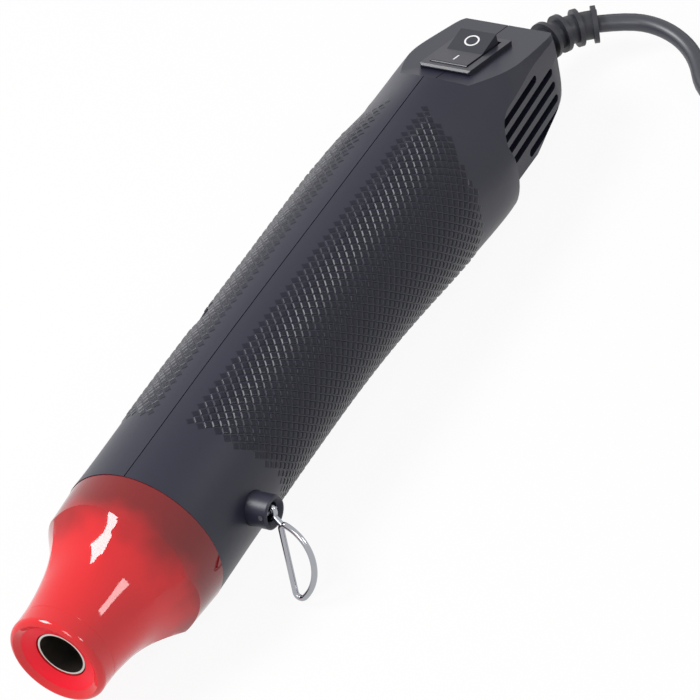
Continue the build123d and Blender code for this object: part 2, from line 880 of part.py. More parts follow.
with BuildPart() as fan_impeller:
    blade_middle = impeller_front + impeller_length / 2
    for index in range(blade_count):
        turn = 2 * pi * index / blade_count
        pitch = radians(blade_pitch)
        outward = (sin(turn), 0, cos(turn))
        chordwise = (sin(pitch) * cos(turn), cos(pitch), -sin(pitch) * sin(turn))
        with BuildSketch(Plane((0, along(blade_middle), axis_height), x_dir=chordwise, z_dir=outward)):
            Rectangle(blade_chord, blade_thickness)
        extrude(amount=impeller_radius + overrun)
    with BuildSketch(across(impeller_front + impeller_length)):
        Circle(impeller_radius)
    extrude(amount=impeller_length, mode=Mode.INTERSECT)
    with BuildSketch(across(impeller_front + impeller_length)):
        Circle(impeller_hub_radius)
    extrude(amount=impeller_length)
    with BuildSketch(across(impeller_front + impeller_length)):
        Circle(shaft_radius + fit_gap)
    extrude(amount=impeller_length, mode=Mode.SUBTRACT)
fan_impeller.part.label = "fan_impeller"
export_step(fan_impeller.part, "parts/fan_impeller.step")

with BuildPart() as motor_shaft:
    with BuildSketch(across(shaft_rear)):
        Circle(shaft_radius)
    extrude(amount=shaft_rear - shaft_front)
motor_shaft.part.label = "motor_shaft"
export_step(motor_shaft.part, "parts/motor_shaft.step")

with BuildPart() as armature:
    with BuildSketch(across(armature_front + armature_length)):
        Circle(armature_radius)
        with PolarLocations(armature_radius - armature_slot_depth / 2, armature_slot_count):
            Rectangle(armature_slot_depth, armature_slot_width, mode=Mode.SUBTRACT)
    extrude(amount=armature_length)
    with BuildSketch(across(armature_front + armature_length + commutator_length)):
        Circle(commutator_radius)
    extrude(amount=commutator_length)
    with BuildSketch(across(armature_front + armature_length + commutator_length)):
        Circle(shaft_radius + fit_gap)
    extrude(amount=armature_length + commutator_length, mode=Mode.SUBTRACT)
armature.part.label = "armature"
export_step(armature.part, "parts/armature.step")

with BuildPart() as motor_can:
    with BuildSketch(tool_side):
        with BuildLine():
            Polyline(
                (motor_front - can_boss_length, shaft_radius + fit_gap),
                (motor_front - can_boss_length, can_boss_radius),
                (motor_front, can_boss_radius),
                (motor_front, motor_radius),
                (motor_rear, motor_radius),
                (motor_rear, motor_radius - can_wall),
                (motor_front + can_wall, motor_radius - can_wall),
                (motor_front + can_wall, shaft_radius + fit_gap),
                close=True,
            )
        make_face()
    revolve(axis=tool_axis)
    with BuildSketch(across(motor_front + can_wall + overrun)):
        with Locations((motor_screw_offset, 0), (-motor_screw_offset, 0)):
            Circle(motor_screw_radius + fit_gap)
    extrude(amount=can_wall + 2 * overrun, mode=Mode.SUBTRACT)
motor_can.part.label = "motor_can"
export_step(motor_can.part, "parts/motor_can.step")

with BuildPart() as motor_magnets:
    for level in (magnet_inner_radius + magnet_outer_radius, -magnet_inner_radius - magnet_outer_radius):
        with BuildSketch(tool_side):
            with Locations((magnet_front + magnet_length / 2, level / 2)):
                Rectangle(magnet_length, magnet_outer_radius - magnet_inner_radius)
        revolve(axis=tool_axis, revolution_arc=magnet_spread)
motor_magnets.part.label = "motor_magnets"
export_step(motor_magnets.part, "parts/motor_magnets.step")

with BuildPart() as motor_end_cap:
    with BuildSketch(across(motor_rear + cap_thickness)):
        Circle(motor_radius)
    extrude(amount=cap_thickness)
    with BuildSketch(across(motor_rear + cap_thickness + cap_boss_length)):
        Circle(cap_boss_radius)
    extrude(amount=cap_boss_length)
    with BuildSketch(across(motor_rear + cap_thickness + cap_boss_length)):
        Circle(shaft_radius + fit_gap)
    extrude(amount=cap_thickness + cap_boss_length, mode=Mode.SUBTRACT)
motor_end_cap.part.label = "motor_end_cap"
export_step(motor_end_cap.part, "parts/motor_end_cap.step")

with BuildPart() as motor_terminals:
    with BuildSketch(across(motor_rear + cap_thickness + motor_blade_length)):
        with Locations((motor_blade_offset, 0), (-motor_blade_offset, 0)):
            Rectangle(motor_blade_thickness, motor_blade_width)
    extrude(amount=motor_blade_length)
motor_terminals.part.label = "motor_terminals"
export_step(motor_terminals.part, "parts/motor_terminals.step")

with BuildPart() as motor_screws:
    seat = duct_rear - duct_hub_thickness
    with BuildSketch(across(seat)):
        with Locations((motor_screw_offset, 0), (-motor_screw_offset, 0)):
            Circle(motor_screw_head_radius)
            Rectangle(screw_recess_width, 2 * motor_screw_head_radius, mode=Mode.SUBTRACT)
    extrude(amount=motor_screw_head_height)
    with BuildSketch(across(seat - motor_screw_head_height / 2)):
        with Locations((motor_screw_offset, 0), (-motor_screw_offset, 0)):
            Circle(motor_screw_head_radius)
    extrude(amount=-motor_screw_head_height / 2)
    with BuildSketch(across(seat + motor_screw_length)):
        with Locations((motor_screw_offset, 0), (-motor_screw_offset, 0)):
            Circle(motor_screw_radius)
    extrude(amount=motor_screw_length)
motor_screws.part.label = "motor_screws"
export_step(motor_screws.part, "parts/motor_screws.step")

with BuildPart() as rectifier_board:
    with BuildSketch(across(circuit_station + circuit_thickness)):
        Circle(circuit_radius)
        with Locations((motor_blade_offset, 0), (-motor_blade_offset, 0)):
            Rectangle(motor_blade_thickness + 2 * fit_gap, motor_blade_width + 2 * fit_gap,
                      mode=Mode.SUBTRACT)
    extrude(amount=circuit_thickness)
rectifier_board.part.label = "rectifier_board"
export_step(rectifier_board.part, "parts/rectifier_board.step")

circuit_face = circuit_station + circuit_thickness
with BuildPart() as diodes:
    with BuildSketch(sideways(0, circuit_face + seat_gap + diode_radius, diode_level)):
        with Locations((0, diode_spacing_level / 2), (0, -diode_spacing_level / 2)):
            Circle(diode_radius)
    extrude(amount=(diode_spacing_x + diode_length) / 2, both=True)
    with BuildSketch(sideways(0, circuit_face, diode_level)):
        Rectangle(2 * motor_radius, 2 * motor_radius)
    extrude(amount=(diode_spacing_x - diode_length) / 2, both=True, mode=Mode.SUBTRACT)
diodes.part.label = "diodes"
export_step(diodes.part, "parts/diodes.step")

with BuildPart() as capacitor:
    with BuildSketch(across(circuit_face + seat_gap + capacitor_length, 0, capacitor_level)):
        Circle(capacitor_radius)
    extrude(amount=capacitor_length)
capacitor.part.label = "capacitor"
export_step(capacitor.part, "parts/capacitor.step")

# Switch

pivot_point = switch_plane.offset(-rocker_pivot_depth).origin
with BuildPart() as switch_housing:
    with BuildSketch(switch_plane):
        Rectangle(bezel_width, bezel_length)
    extrude(amount=bezel_height)
    chamfer(switch_housing.faces().sort_by(Axis.Z)[-1].edges(), length=bezel_chamfer)
    with BuildSketch(switch_plane):
        Rectangle(switch_body_width, switch_body_length)
    extrude(amount=-switch_depth)
    with BuildSketch(switch_plane.offset(bezel_height)):
        Rectangle(switch_cavity_width, switch_cavity_length)
    extrude(amount=-switch_cavity_depth - bezel_height, mode=Mode.SUBTRACT)
    with BuildSketch(Plane(pivot_point, x_dir=switch_plane.y_dir, z_dir=(1, 0, 0))):
        Circle(trunnion_radius + fit_gap)
    extrude(amount=switch_body_width, both=True, mode=Mode.SUBTRACT)
switch_housing.part.label = "switch_housing"
export_step(switch_housing.part, "parts/switch_housing.step")

rocker_turn = platform_slope - radians(rocker_tilt)
rocker_plane = Plane(pivot_point, x_dir=(0, cos(rocker_turn), -sin(rocker_turn)), z_dir=(1, 0, 0))
with BuildPart() as rocker:
    with BuildSketch(rocker_plane):
        with BuildLine():
            Polyline(
                (-rocker_top_half, rocker_top_height),
                (0, rocker_valley_height),
                (rocker_top_half, rocker_top_height),
                (rocker_end_half, rocker_end_height),
                (rocker_foot_half, -rocker_foot_depth),
                (-rocker_foot_half, -rocker_foot_depth),
                (-rocker_end_half, rocker_end_height),
                close=True,
            )
        make_face()
    extrude(amount=rocker_width / 2, both=True)
    crown = rocker.edges().filter_by(Axis.X).sort_by(Axis.Z)[-1:]
    fillet(crown, radius=rocker_edge_radius)
    with BuildSketch(rocker_plane):
        Circle(trunnion_radius)
    extrude(amount=rocker_width / 2 + trunnion_length, both=True)
rocker.part.label = "rocker"
export_step(rocker.part, "parts/rocker.step")

with BuildPart() as switch_terminals:
    with BuildSketch(switch_plane.offset(-switch_depth)):
        with Locations((0, switch_blade_offset), (0, -switch_blade_offset)):
            Rectangle(switch_blade_width, switch_blade_thickness)
    extrude(amount=-switch_blade_length)
switch_terminals.part.label = "switch_terminals"
export_step(switch_terminals.part, "parts/switch_terminals.step")

# Hanging ring

ring_plane = Plane((ring_hinge_x, along(lug_station), above(lug_level)), x_dir=(1, 0, 0),
                   z_dir=(0, cos(ring_lean), -sin(ring_lean)))
lug_foot = lug_base - lug_seat_depth
with BuildPart() as ring_lug:
    with BuildSketch(sideways(lug_foot, lug_station, lug_level)):
        Circle(lug_radius)
    extrude(amount=lug_face - lug_foot)
    chamfer(ring_lug.faces().sort_by(Axis.X)[-1].edges(), length=lug_edge)
    with BuildSketch(sideways(lug_stem_end, lug_station, lug_level)):
        Circle(lug_stem_radius)
    extrude(amount=lug_foot - lug_stem_end)
    with BuildSketch(sideways(lug_face - lug_bore_depth, lug_station, lug_level)):
        Circle(lug_bore_radius)
    extrude(amount=lug_bore_depth, mode=Mode.SUBTRACT)
    chamfer(ring_lug.faces().sort_by(Axis.X)[-1].edges().sort_by(SortBy.RADIUS)[0],
            length=lug_mouth_radius - lug_bore_radius)
    with BuildSketch(ring_plane):
        Circle(pin_radius + fit_gap)
    extrude(amount=lug_radius + overrun, both=True, mode=Mode.SUBTRACT)
ring_lug.part.label = "ring_lug"
export_step(ring_lug.part, "parts/ring_lug.step")

with BuildPart() as lug_clip:
    with BuildSketch(sideways(clip_face - clip_thickness, lug_station, lug_level)):
        Circle(clip_radius)
        Circle(lug_stem_radius + fit_gap, mode=Mode.SUBTRACT)
    extrude(amount=clip_thickness)
lug_clip.part.label = "lug_clip"
export_step(lug_clip.part, "parts/lug_clip.step")

with BuildPart() as ring_pin:
    with BuildSketch(ring_plane):
        Circle(pin_radius)
    extrude(amount=pin_length / 2, both=True)
ring_pin.part.label = "ring_pin"
export_step(ring_pin.part, "parts/ring_pin.step")

with BuildPart() as hang_ring:
    with BuildLine(ring_plane) as ring_path:
        Line(ring_top, ring_foot)
        ThreePointArc(ring_foot, ring_bow, ring_top)
        corners = ring_path.vertices().sort_by(Axis.Z)
        fillet(corners[0], radius=ring_foot_radius)
        fillet(ring_path.vertices().sort_by(Axis.Z)[-1], radius=ring_top_radius)
    with BuildSketch(Plane(ring_path.line @ 0, z_dir=ring_path.line % 0)):
        Circle(ring_wire_radius)
    sweep(path=ring_path.line)
    # Neck from the eye to the ring, then the eye round the pin
    neck_length = sqrt(ring_top[0] ** 2 + ring_top[1] ** 2) + ring_neck_reach
    neck_way = (ring_plane.from_local_coords((ring_top[0], ring_top[1], 0)) - ring_plane.origin).normalized()
    neck_end = ring_plane.origin + neck_way * neck_length
    with BuildSketch(Plane(neck_end, z_dir=ring_plane.origin - neck_end)):
        Circle(ring_wire_radius)
    extrude(amount=neck_length - eye_radius)
    with BuildSketch(Plane(ring_plane.origin, x_dir=(1, 0, 0), z_dir=ring_plane.y_dir)):
        with Locations((eye_radius, 0)):
            Circle(ring_wire_radius)
    revolve(axis=Axis(ring_plane.origin, ring_plane.z_dir))
hang_ring.part.label = "hang_ring"
export_step(hang_ring.part, "parts/hang_ring.step")

# Fasteners, label plate and cord clamp

with BuildPart() as case_screws:
    for station, level in screw_places:
        with BuildSketch(sideways(screw_head_x - screw_head_height, station, level)):
            Circle(screw_head_radius)
        extrude(amount=screw_head_height)
        with BuildSketch(sideways(screw_head_x, station, level)):
            Circle(screw_shank_radius)
        extrude(amount=screw_tip_x - screw_head_x)
        with BuildSketch(sideways(screw_head_x - screw_head_height, station, level)):
            for turn in (0, 90):
                Rectangle(2 * screw_recess_depth + screw_recess_width, screw_recess_width, rotation=turn)
        extrude(amount=screw_recess_depth, mode=Mode.SUBTRACT)
case_screws.part.label = "case_screws"
export_step(case_screws.part, "parts/case_screws.step")

with BuildPart() as label_plate:
    with BuildSketch(label_plane()):
        Ellipse(label_length / 2, label_height / 2)
    extrude(amount=2 * collar_radius)
    plate_inset = label_recess_depth - label_seat_gap
    add(half_form(plate_inset - label_thickness, -1), mode=Mode.INTERSECT)
    add(half_form(plate_inset, -1), mode=Mode.SUBTRACT)
label_plate.part.label = "label_plate"
export_step(label_plate.part, "parts/label_plate.step")

with BuildPart() as cord_clamp:
    with BuildSketch(sideways(0, clamp_station, cord_level)):
        Rectangle(clamp_width, clamp_length)
    extrude(amount=clamp_depth)
    with BuildSketch(sideways(0, clamp_station, cord_level)):
        with Locations((0, clamp_screw_offset), (0, -clamp_screw_offset)):
            Circle(clamp_screw_radius + fit_gap)
    extrude(amount=clamp_depth, mode=Mode.SUBTRACT)
    with BuildSketch(across(clamp_station + clamp_width, 0, cord_level)):
        Circle(cord_radius + seat_gap)
    extrude(amount=2 * clamp_width, mode=Mode.SUBTRACT)
cord_clamp.part.label = "cord_clamp"
export_step(cord_clamp.part, "parts/cord_clamp.step")

with BuildPart() as clamp_screws:
    for offset in (clamp_screw_offset, -clamp_screw_offset):
        with BuildSketch(sideways(clamp_depth, clamp_station, cord_level + offset)):
            Circle(clamp_screw_head_radius)
        extrude(amount=clamp_screw_head_height)
        with BuildSketch(sideways(clamp_screw_tip_x, clamp_station, cord_level + offset)):
            Circle(clamp_screw_radius)
        extrude(amount=clamp_depth - clamp_screw_tip_x)
        with BuildSketch(sideways(clamp_depth + clamp_screw_head_height, clamp_station, cord_level + offset)):
            Rectangle(2 * clamp_screw_head_radius, clamp_slot_width)
        extrude(amount=-clamp_screw_head_height / 2, mode=Mode.SUBTRACT)
clamp_screws.part.label = "clamp_screws"
export_step(clamp_screws.part, "parts/clamp_screws.step")

# Strain relief and cord

boot_inner = body_length - wall - seat_gap
boot_start = Vector(0, along(body_length), above(cord_level))
boot_heading = Vector(0, cos(boot_drop), -sin(boot_drop))
with BuildPart() as strain_relief:
    with BuildSketch(across(boot_inner, 0, cord_level)):
        Circle(boot_flange_radius)
    extrude(amount=boot_flange_width)
    with BuildSketch(across(body_length, 0, cord_level)):
        Circle(boot_neck_radius)
    extrude(amount=body_length - boot_inner)
    with BuildSketch(across(body_length, 0, cord_level)):
        Circle(boot_flange_radius)
    extrude(amount=-boot_shoulder_width)
    boot_plane = Plane(boot_start, x_dir=boot_heading, z_dir=boot_heading.cross(Vector(1, 0, 0)))
    with BuildLine(boot_plane) as boot_path:
        straight = Line((0, 0), (boot_straight, 0))
        JernArc(straight @ 1, (1, 0), boot_bend_radius, boot_bend)
    boot_line = boot_path.wire()
    with BuildSketch(Plane(boot_line @ 0, z_dir=boot_line % 0)):
        Circle(boot_core_radius)
    sweep(path=boot_line)
    for index in range(boot_rib_count):
        share = (boot_rib_start + index * boot_rib_pitch) / boot_line.length
        with BuildSketch(Plane(boot_line @ share, z_dir=boot_line % share)):
            Circle(boot_rib_radius - index * boot_rib_taper)
        extrude(amount=boot_rib_width)
strain_relief.part.label = "strain_relief"
export_step(strain_relief.part, "parts/strain_relief.step")

with BuildPart() as inner_cord:
    with BuildSketch(across(boot_inner - boot_flange_width, 0, cord_level)):
        Circle(cord_radius)
    extrude(amount=inner_cord_length)
inner_cord.part.label = "inner_cord"
export_step(inner_cord.part, "parts/inner_cord.step")

coil_level = tie_level
coil_entry = Vector(coil_start[0], along(coil_start[1]), above(coil_level))
cord_points = [boot_line @ 1, boot_line @ 1 + (boot_line % 1) * cord_first_run]
for x, station, level in cord_corners:
    cord_points.append(Vector(x, along(station), above(level)))
cord_points.append(coil_entry)
cord_bends = []
for before, corner, after in zip(cord_points, cord_points[1:], cord_points[2:]):
    run = min((corner - before).length, (after - corner).length)
    turn = radians((corner - before).get_angle(after - corner))
    cord_bends.append(bend_share * run / tan(turn / 2))
print("cord bend radii", [round(bend, 1) for bend in cord_bends])
with BuildPart() as cord_run:
    with BuildLine() as cord_path:
        FilletPolyline(*cord_points, radius=cord_bends)
    cord_line = cord_path.wire()
    with BuildSketch(Plane(cord_line @ 0, z_dir=cord_line % 0)):
        Circle(cord_radius)
    sweep(path=cord_line)
cord_run.part.label = "cord_run"
export_step(cord_run.part, "parts/cord_run.step")

# The coil winds inwards in its lower layer, climbs half a turn and winds outwards above
heading = (coil_entry - cord_points[-2]).normalized()
sidestep = Vector(-heading.Y, heading.X, 0)
upward = Vector(0, 0, 1)
radii = [coil_inner_radius + coil_pitch / 2 * index for index in range(coil_turns_a_layer, 0, -1)]
half_turns = [(radius, 0) for radius in radii]
half_turns.append((coil_inner_radius, asin(coil_pitch / (2 * coil_inner_radius))))
half_turns.extend((radius, 0) for radius in reversed(radii))
place = coil_entry
with BuildPart() as cord_coil:
    with BuildLine() as coil_path:
        Line(place, place + heading * cord_diameter)
        place = place + heading * cord_diameter
        sign = 1
        for radius, tilt in half_turns:
            inward = sidestep * (sign * cos(tilt)) + upward * sin(tilt)
            centre = place + inward * radius
            ThreePointArc(place, centre + heading * (sign * radius), centre + inward * radius)
            place = centre + inward * radius
            sign = -sign
        plug_entry = place + heading * (sign * coil_tail_length)
        Line(place, plug_entry)
    coil_line = coil_path.wire()
    with BuildSketch(Plane(coil_line @ 0, z_dir=coil_line % 0)):
        Circle(cord_radius)
    sweep(path=coil_line)
cord_coil.part.label = "cord_coil"
export_step(cord_coil.part, "parts/cord_coil.step")

sample_count = 1500
samples = [coil_line @ (index / sample_count) for index in range(sample_count + 1)]
spacing = coil_line.length / sample_count
skip = int(3 * cord_diameter / spacing)
least = min(
    (samples[one] - samples[other]).length
    for one in range(0, sample_count + 1, 2)
    for other in range(one + skip, sample_count + 1)
)
print("coil length", round(coil_line.length), "least gap", round(least - cord_diameter, 2))
print("cord length", round(coil_line.length + cord_line.length + boot_line.length))

coil_centre = coil_entry + heading * cord_diameter + sidestep * radii[0]
with BuildPart() as coil_tie:
    reach = radii[0] + cord_radius + seat_gap
    stack = 2 * (cord_radius + seat_gap) + coil_pitch
    tie_plane = Plane(coil_centre + heading * ((reach + tie_inner_reach) / 2) + upward * (coil_pitch / 2),
                      x_dir=heading, z_dir=sidestep)
    with BuildSketch(tie_plane):
        corner = cord_radius + seat_gap
        RectangleRounded(reach - tie_inner_reach + 2 * tie_thickness, stack + 2 * tie_thickness,
                         corner + tie_thickness)
        RectangleRounded(reach - tie_inner_reach, stack, corner, mode=Mode.SUBTRACT)
    extrude(amount=tie_width / 2, both=True)
coil_tie.part.label = "coil_tie"
export_step(coil_tie.part, "parts/coil_tie.step")

plug_heading = heading * sign
plug_plane = Plane(plug_entry, x_dir=plug_heading.cross(upward), z_dir=plug_heading)
with BuildPart() as plug_body:
    with BuildSketch(plug_plane):
        Circle(plug_boot_radius)
    extrude(amount=plug_boot_length)
    for index in range(plug_rib_count):
        with BuildSketch(plug_plane.offset(plug_boot_length - (index + 1) * plug_rib_pitch)):
            Circle(plug_rib_radius)
        extrude(amount=plug_rib_width)
    with BuildSketch(plug_plane.offset(plug_boot_length)):
        RectangleRounded(plug_neck_width, plug_neck_height, plug_edge_radius)
    with BuildSketch(plug_plane.offset(plug_boot_length + plug_shoulder_length)):
        RectangleRounded(plug_width, plug_height, plug_edge_radius)
    loft()
    with BuildSketch(plug_plane.offset(plug_boot_length + plug_shoulder_length)):
        RectangleRounded(plug_width, plug_height, plug_edge_radius)
    extrude(amount=plug_length)
    plug_face = plug_plane.offset(plug_boot_length + plug_shoulder_length + plug_length)
    with BuildSketch(plug_face):
        with Locations((blade_offset, 0), (-blade_offset, 0)):
            Rectangle(blade_metal + 2 * blade_seat_gap, blade_width + 2 * blade_seat_gap)
    extrude(amount=-blade_seat - blade_seat_gap, mode=Mode.SUBTRACT)
plug_body.part.label = "plug_body"
export_step(plug_body.part, "parts/plug_body.step")

with BuildPart() as plug_pins:
    with BuildSketch(plug_face.offset(-blade_seat)):
        with Locations((blade_offset, 0), (-blade_offset, 0)):
            Rectangle(blade_metal, blade_width)
    extrude(amount=blade_seat + blade_length)
plug_pins.part.label = "plug_pins"
export_step(plug_pins.part, "parts/plug_pins.step")
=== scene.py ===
import math
from math import cos, pi, radians, sin, tan

import bmesh
import bpy
from bpy.props import FloatProperty, FloatVectorProperty, PointerProperty
from mathutils import Matrix, Vector


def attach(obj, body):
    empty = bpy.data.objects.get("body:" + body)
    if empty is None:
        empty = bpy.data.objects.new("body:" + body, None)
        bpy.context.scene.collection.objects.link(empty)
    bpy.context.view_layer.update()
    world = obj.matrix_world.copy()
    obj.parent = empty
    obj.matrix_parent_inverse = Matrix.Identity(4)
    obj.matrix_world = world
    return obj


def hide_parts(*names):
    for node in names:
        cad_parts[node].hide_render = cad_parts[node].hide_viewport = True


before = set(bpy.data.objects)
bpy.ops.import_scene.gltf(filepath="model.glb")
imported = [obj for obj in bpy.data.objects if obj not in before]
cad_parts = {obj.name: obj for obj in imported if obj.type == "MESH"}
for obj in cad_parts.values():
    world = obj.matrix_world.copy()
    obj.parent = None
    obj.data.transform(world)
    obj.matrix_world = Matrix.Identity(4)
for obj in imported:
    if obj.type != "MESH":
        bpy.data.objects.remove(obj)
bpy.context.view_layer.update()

bl_info = {
    "name": "Embossing Heat Tool",
    "version": (1, 0, 0),
    "blender": (4, 5, 0),
    "location": "View3D > Sidebar > Heat Tool",
    "description": "Dresses the packed model of an embossing heat tool and sets its stage",
    "category": "Object",
}

MM = 0.001

# Where things are, in millimetres, as in the part's source. A station is a distance along the
# tool from the joint between cover and body, and a level is a height above the tool's axis.
HEEL_STATION = 148.0
AXIS_HEIGHT = 21.0
COLLAR_RADIUS = 21.0
BODY_LENGTH = 190.0

# Body sections: station share, half width, top, bottom, waist, upper and lower fullness
BODY_SECTIONS = (
    (0.000, 1.000, 1.010, 0.996, 0.010, 0.552, 0.552),
    (0.126, 0.990, 1.033, 0.948, 0.038, 0.552, 0.552),
    (0.253, 0.986, 1.052, 0.919, 0.067, 0.552, 0.552),
    (0.379, 0.986, 1.057, 0.914, 0.071, 0.552, 0.552),
    (0.505, 1.010, 1.057, 0.952, 0.048, 0.552, 0.570),
    (0.632, 1.057, 1.057, 0.995, 0.019, 0.515, 0.650),
    (0.716, 1.081, 1.057, 1.015, 0.000, 0.430, 0.695),
    (0.779, 1.086, 1.057, 1.018, 0.000, 0.350, 0.720),
)

# Edges of a knurled panel: degrees round from the top, then the station of the edge there
PANEL_FRONT = ((14.0, 20.5), (51.0, 23.0), (85.0, 28.7), (127.0, 30.0), (160.0, 36.0))
PANEL_REAR = (
    (14.0, 141.0), (31.0, 137.0), (46.0, 135.0), (57.0, 132.5), (86.0, 129.5), (160.0, 128.0))
PANEL_TOP, PANEL_BOTTOM = 14.5, 156.0
PANEL_END = 141.0
# Towards a panel's edge the pads get lower: the share of their height there, and the fade's width
EDGE_RISE, EDGE_FADE = 0.25, 4.0
# A pad as shares of its height, and of its half width at the crown
PAD_SUNK, PAD_SHOULDER, PAD_CROWN = 0.5, 0.85, 0.72
# Each pad is dropped onto its shell from this far above it, and looks for it this far down
KNURL_LIFT, KNURL_REACH = 3.0, 6.0
# Steps either way over which the lie of the surface is read: an angle in radians and a length
TURN_STEP, STATION_STEP = 0.02, 1.0

# What stays bare on the left: screw wells as station and level, and the label plate
SCREW_WELLS = ((60.0, 14.5), (60.0, -14.5), (142.5, -13.0))
SCREW_BARE_RADIUS = 3.9
LABEL_STATION, LABEL_TURN = 133.0, 62.0
LABEL_HALF_LENGTH, LABEL_HALF_HEIGHT = 15.0, 7.5
LABEL_MARGIN = 2.0

# Shading: edges that turn by more than these degrees stay sharp
BODY_SHARP, COVER_SHARP = 32.0, 24.0
# Vertices closer than this, in metres, are one, and so near the middle plane they are on the seam
MERGE_DISTANCE = 1e-6

# The cover's dish, which faces out of the mouth: its depth, its radius and its least lean
DISH_DEPTH, DISH_RADIUS = 4.0, 9.8
DISH_FACING = 0.35
# The cover is painted dark at its band, as painted shade, and bright from this far in front, on a border that
# wanders
COVER_BAND_STATION, COVER_BRIGHT_STATION = -6.0, -19.0
COVER_CLOUD, COVER_WANDER = 11.0, 6.0
COVER_BAND_SHADE = 0.3

# The switch: its platform slopes down to the tail, and the rocker's top is a shallow V
PLATFORM_FRONT, PLATFORM_FRONT_LEVEL, PLATFORM_REAR_LEVEL = 153.6, 17.98, 6.96
SWITCH_STATION = 168.9
ROCKER_TILT = 9.5
ROCKER_PIVOT_DEPTH = 2.0
ROCKER_VALLEY, ROCKER_TOP, ROCKER_HALF = 3.6, 5.0, 7.9
# The marks on it: how far behind the pivot they are, their sizes and how proud they stand
RING_MARK_PLACE, BAR_MARK_PLACE = 4.2, -4.1
RING_MARK_RADIUS, BAR_MARK_HALF = 1.78, 1.5
RING_MARK_STEPS = 48
MARK_PROUD = 0.03

# The boot leaves the tail at this level and drops by these degrees. It runs straight at first, and
# then bends sideways on a radius, by degrees
BOOT_LEVEL, BOOT_DROP = -7.0, 8.75
BOOT_STRAIGHT, BOOT_RADIUS, BOOT_BEND = 10.0, 18.8, 60.0
# The cord's route as in the part's source: it leaves the boot straight, passes corners given as x,
# station and level, and ends in a coil of two layers and a tail
CORD_FIRST_RUN = 8.0
CORD_CORNERS = (
    (24.28, 221.00, -12.60),
    (32.03, 219.00, -14.20),
    (38.46, 214.24, -16.00),
    (43.20, 206.50, -17.70),
    (51.00, 201.62, -18.40),
    (60.16, 200.74, -18.60),
    (68.75, 204.04, -18.60),
    (74.97, 210.82, -18.60),
    (77.51, 219.66, -18.60),
    (75.40, 231.40, -18.60),
    (73.80, 243.40, -18.30),
    (73.10, 255.50, -17.80),
)
COIL_START = (76.4, 266.4, -17.8)
COIL_INNER_RADIUS = 18.5
COIL_GAP = 0.6
COIL_HALF_TURNS = 7
COIL_TAIL = 11.0
POINTS_PER_HALF_TURN = 6

# Camera, from the photograph: the ways back and right from where it looks, its distance and its
# shift off the tool's heel, and its lens and sensor
CAMERA_BACK = Vector((0.482, -0.598, 0.6404))
CAMERA_RIGHT = Vector((0.857, 0.4737, -0.2027))
CAMERA_DISTANCE = 1200.0
CAMERA_OFFSET = (48.07, 44.97)
CAMERA_LENS = 263.3
CAMERA_SENSOR = 36.0
CAMERA_CLIP = (0.05, 20.0)

# Lamps: name, place, size and power, in metres and watts. All face the same spot of the tool
LAMPS = (
    ("key", (-0.5, -0.35, 0.9), (0.5, 0.35), 10.5),
    ("fill", (0.9, 0.1, 0.75), (0.3, 0.22), 2.0),
    ("strip", (0.25, -0.95, 0.75), (0.24, 0.42), 2.8),
)
LAMP_TARGET_STATION = 75.0
# The floor's half width in metres, and how much of what the camera sees there is plain white
FLOOR_HALF, FLOOR_WHITE = 3.0, 0.93
# The world's strength: how it lights the tool, and how it looks itself and in reflections
WORLD_LIGHT, WORLD_SEEN = 0.2, 1.0

# Materials, made once and kept by a short name
finishes = {}


def place(x, station, level):
    """A point given as x, station and level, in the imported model's frame and in metres."""
    return Vector((x, station - HEEL_STATION, level + AXIS_HEIGHT)) * MM


def to_linear(value):
    """One channel of an sRGB colour as linear light."""
    return value / 12.92 if value <= 0.04045 else ((value + 0.055) / 1.055) ** 2.4


def shade(code):
    """An sRGB hex value such as C8102E as linear red, green and blue."""
    return tuple(to_linear(int(code[i:i + 2], 16) / 255) for i in (0, 2, 4))


def between(table, at):
    """Straight-line reading of a two-column table."""
    for (x0, y0), (x1, y1) in zip(table, table[1:]):
        if at <= x1:
            return y0 + (y1 - y0) * max(0.0, (at - x0) / (x1 - x0))
    return table[-1][1]


class HeatToolSizes(bpy.types.PropertyGroup):
    """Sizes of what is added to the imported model"""

    knurl_pitch: FloatProperty(
        name="Knurl pitch", description="Distance between neighbouring grooves",
        default=0.0019, min=0.001, max=0.005, unit="LENGTH")
    knurl_height: FloatProperty(
        name="Knurl height", description="How far a pad stands out of the body",
        default=0.00028, min=0.0001, max=0.001, unit="LENGTH")
    knurl_groove: FloatProperty(
        name="Knurl groove", description="Width of a groove at its floor",
        default=0.00022, min=0.0001, max=0.001, unit="LENGTH")
    cord_diameter: FloatProperty(
        name="Cord diameter", description="Diameter of the cord's jacket",
        default=0.0046, min=0.003, max=0.009, unit="LENGTH")
    mark_width: FloatProperty(
        name="Mark width", description="Line width of the marks on the rocker",
        default=0.00045, min=0.0002, max=0.001, unit="LENGTH")
    seam_gap: FloatProperty(
        name="Seam gap", description="Width of the parting line between the shells",
        default=0.00024, min=0.0, max=0.001, unit="LENGTH")


class HeatToolColours(bpy.types.PropertyGroup):
    """Colours of the main finishes"""

    shell: FloatVectorProperty(
        name="Shell", description="Moulded body", subtype="COLOR", size=3,
        min=0, max=1, default=shade("212231"))
    cover: FloatVectorProperty(
        name="Cover", description="Tinted nozzle cover", subtype="COLOR", size=3,
        min=0, max=1, default=shade("D8161E"))
    rubber: FloatVectorProperty(
        name="Rubber", description="Cord, boot and plug", subtype="COLOR", size=3,
        min=0, max=1, default=shade("3C3D45"))
    mark: FloatVectorProperty(
        name="Mark", description="Marks on the rocker", subtype="COLOR", size=3,
        min=0, max=1, default=shade("F2F2F4"))


def rgba(colour):
    """A colour as a shader's socket takes it."""
    return (*colour[:3], 1.0)


def scaled(colour, factor):
    """The same colour, lighter or darker."""
    return tuple(channel * factor for channel in colour[:3])


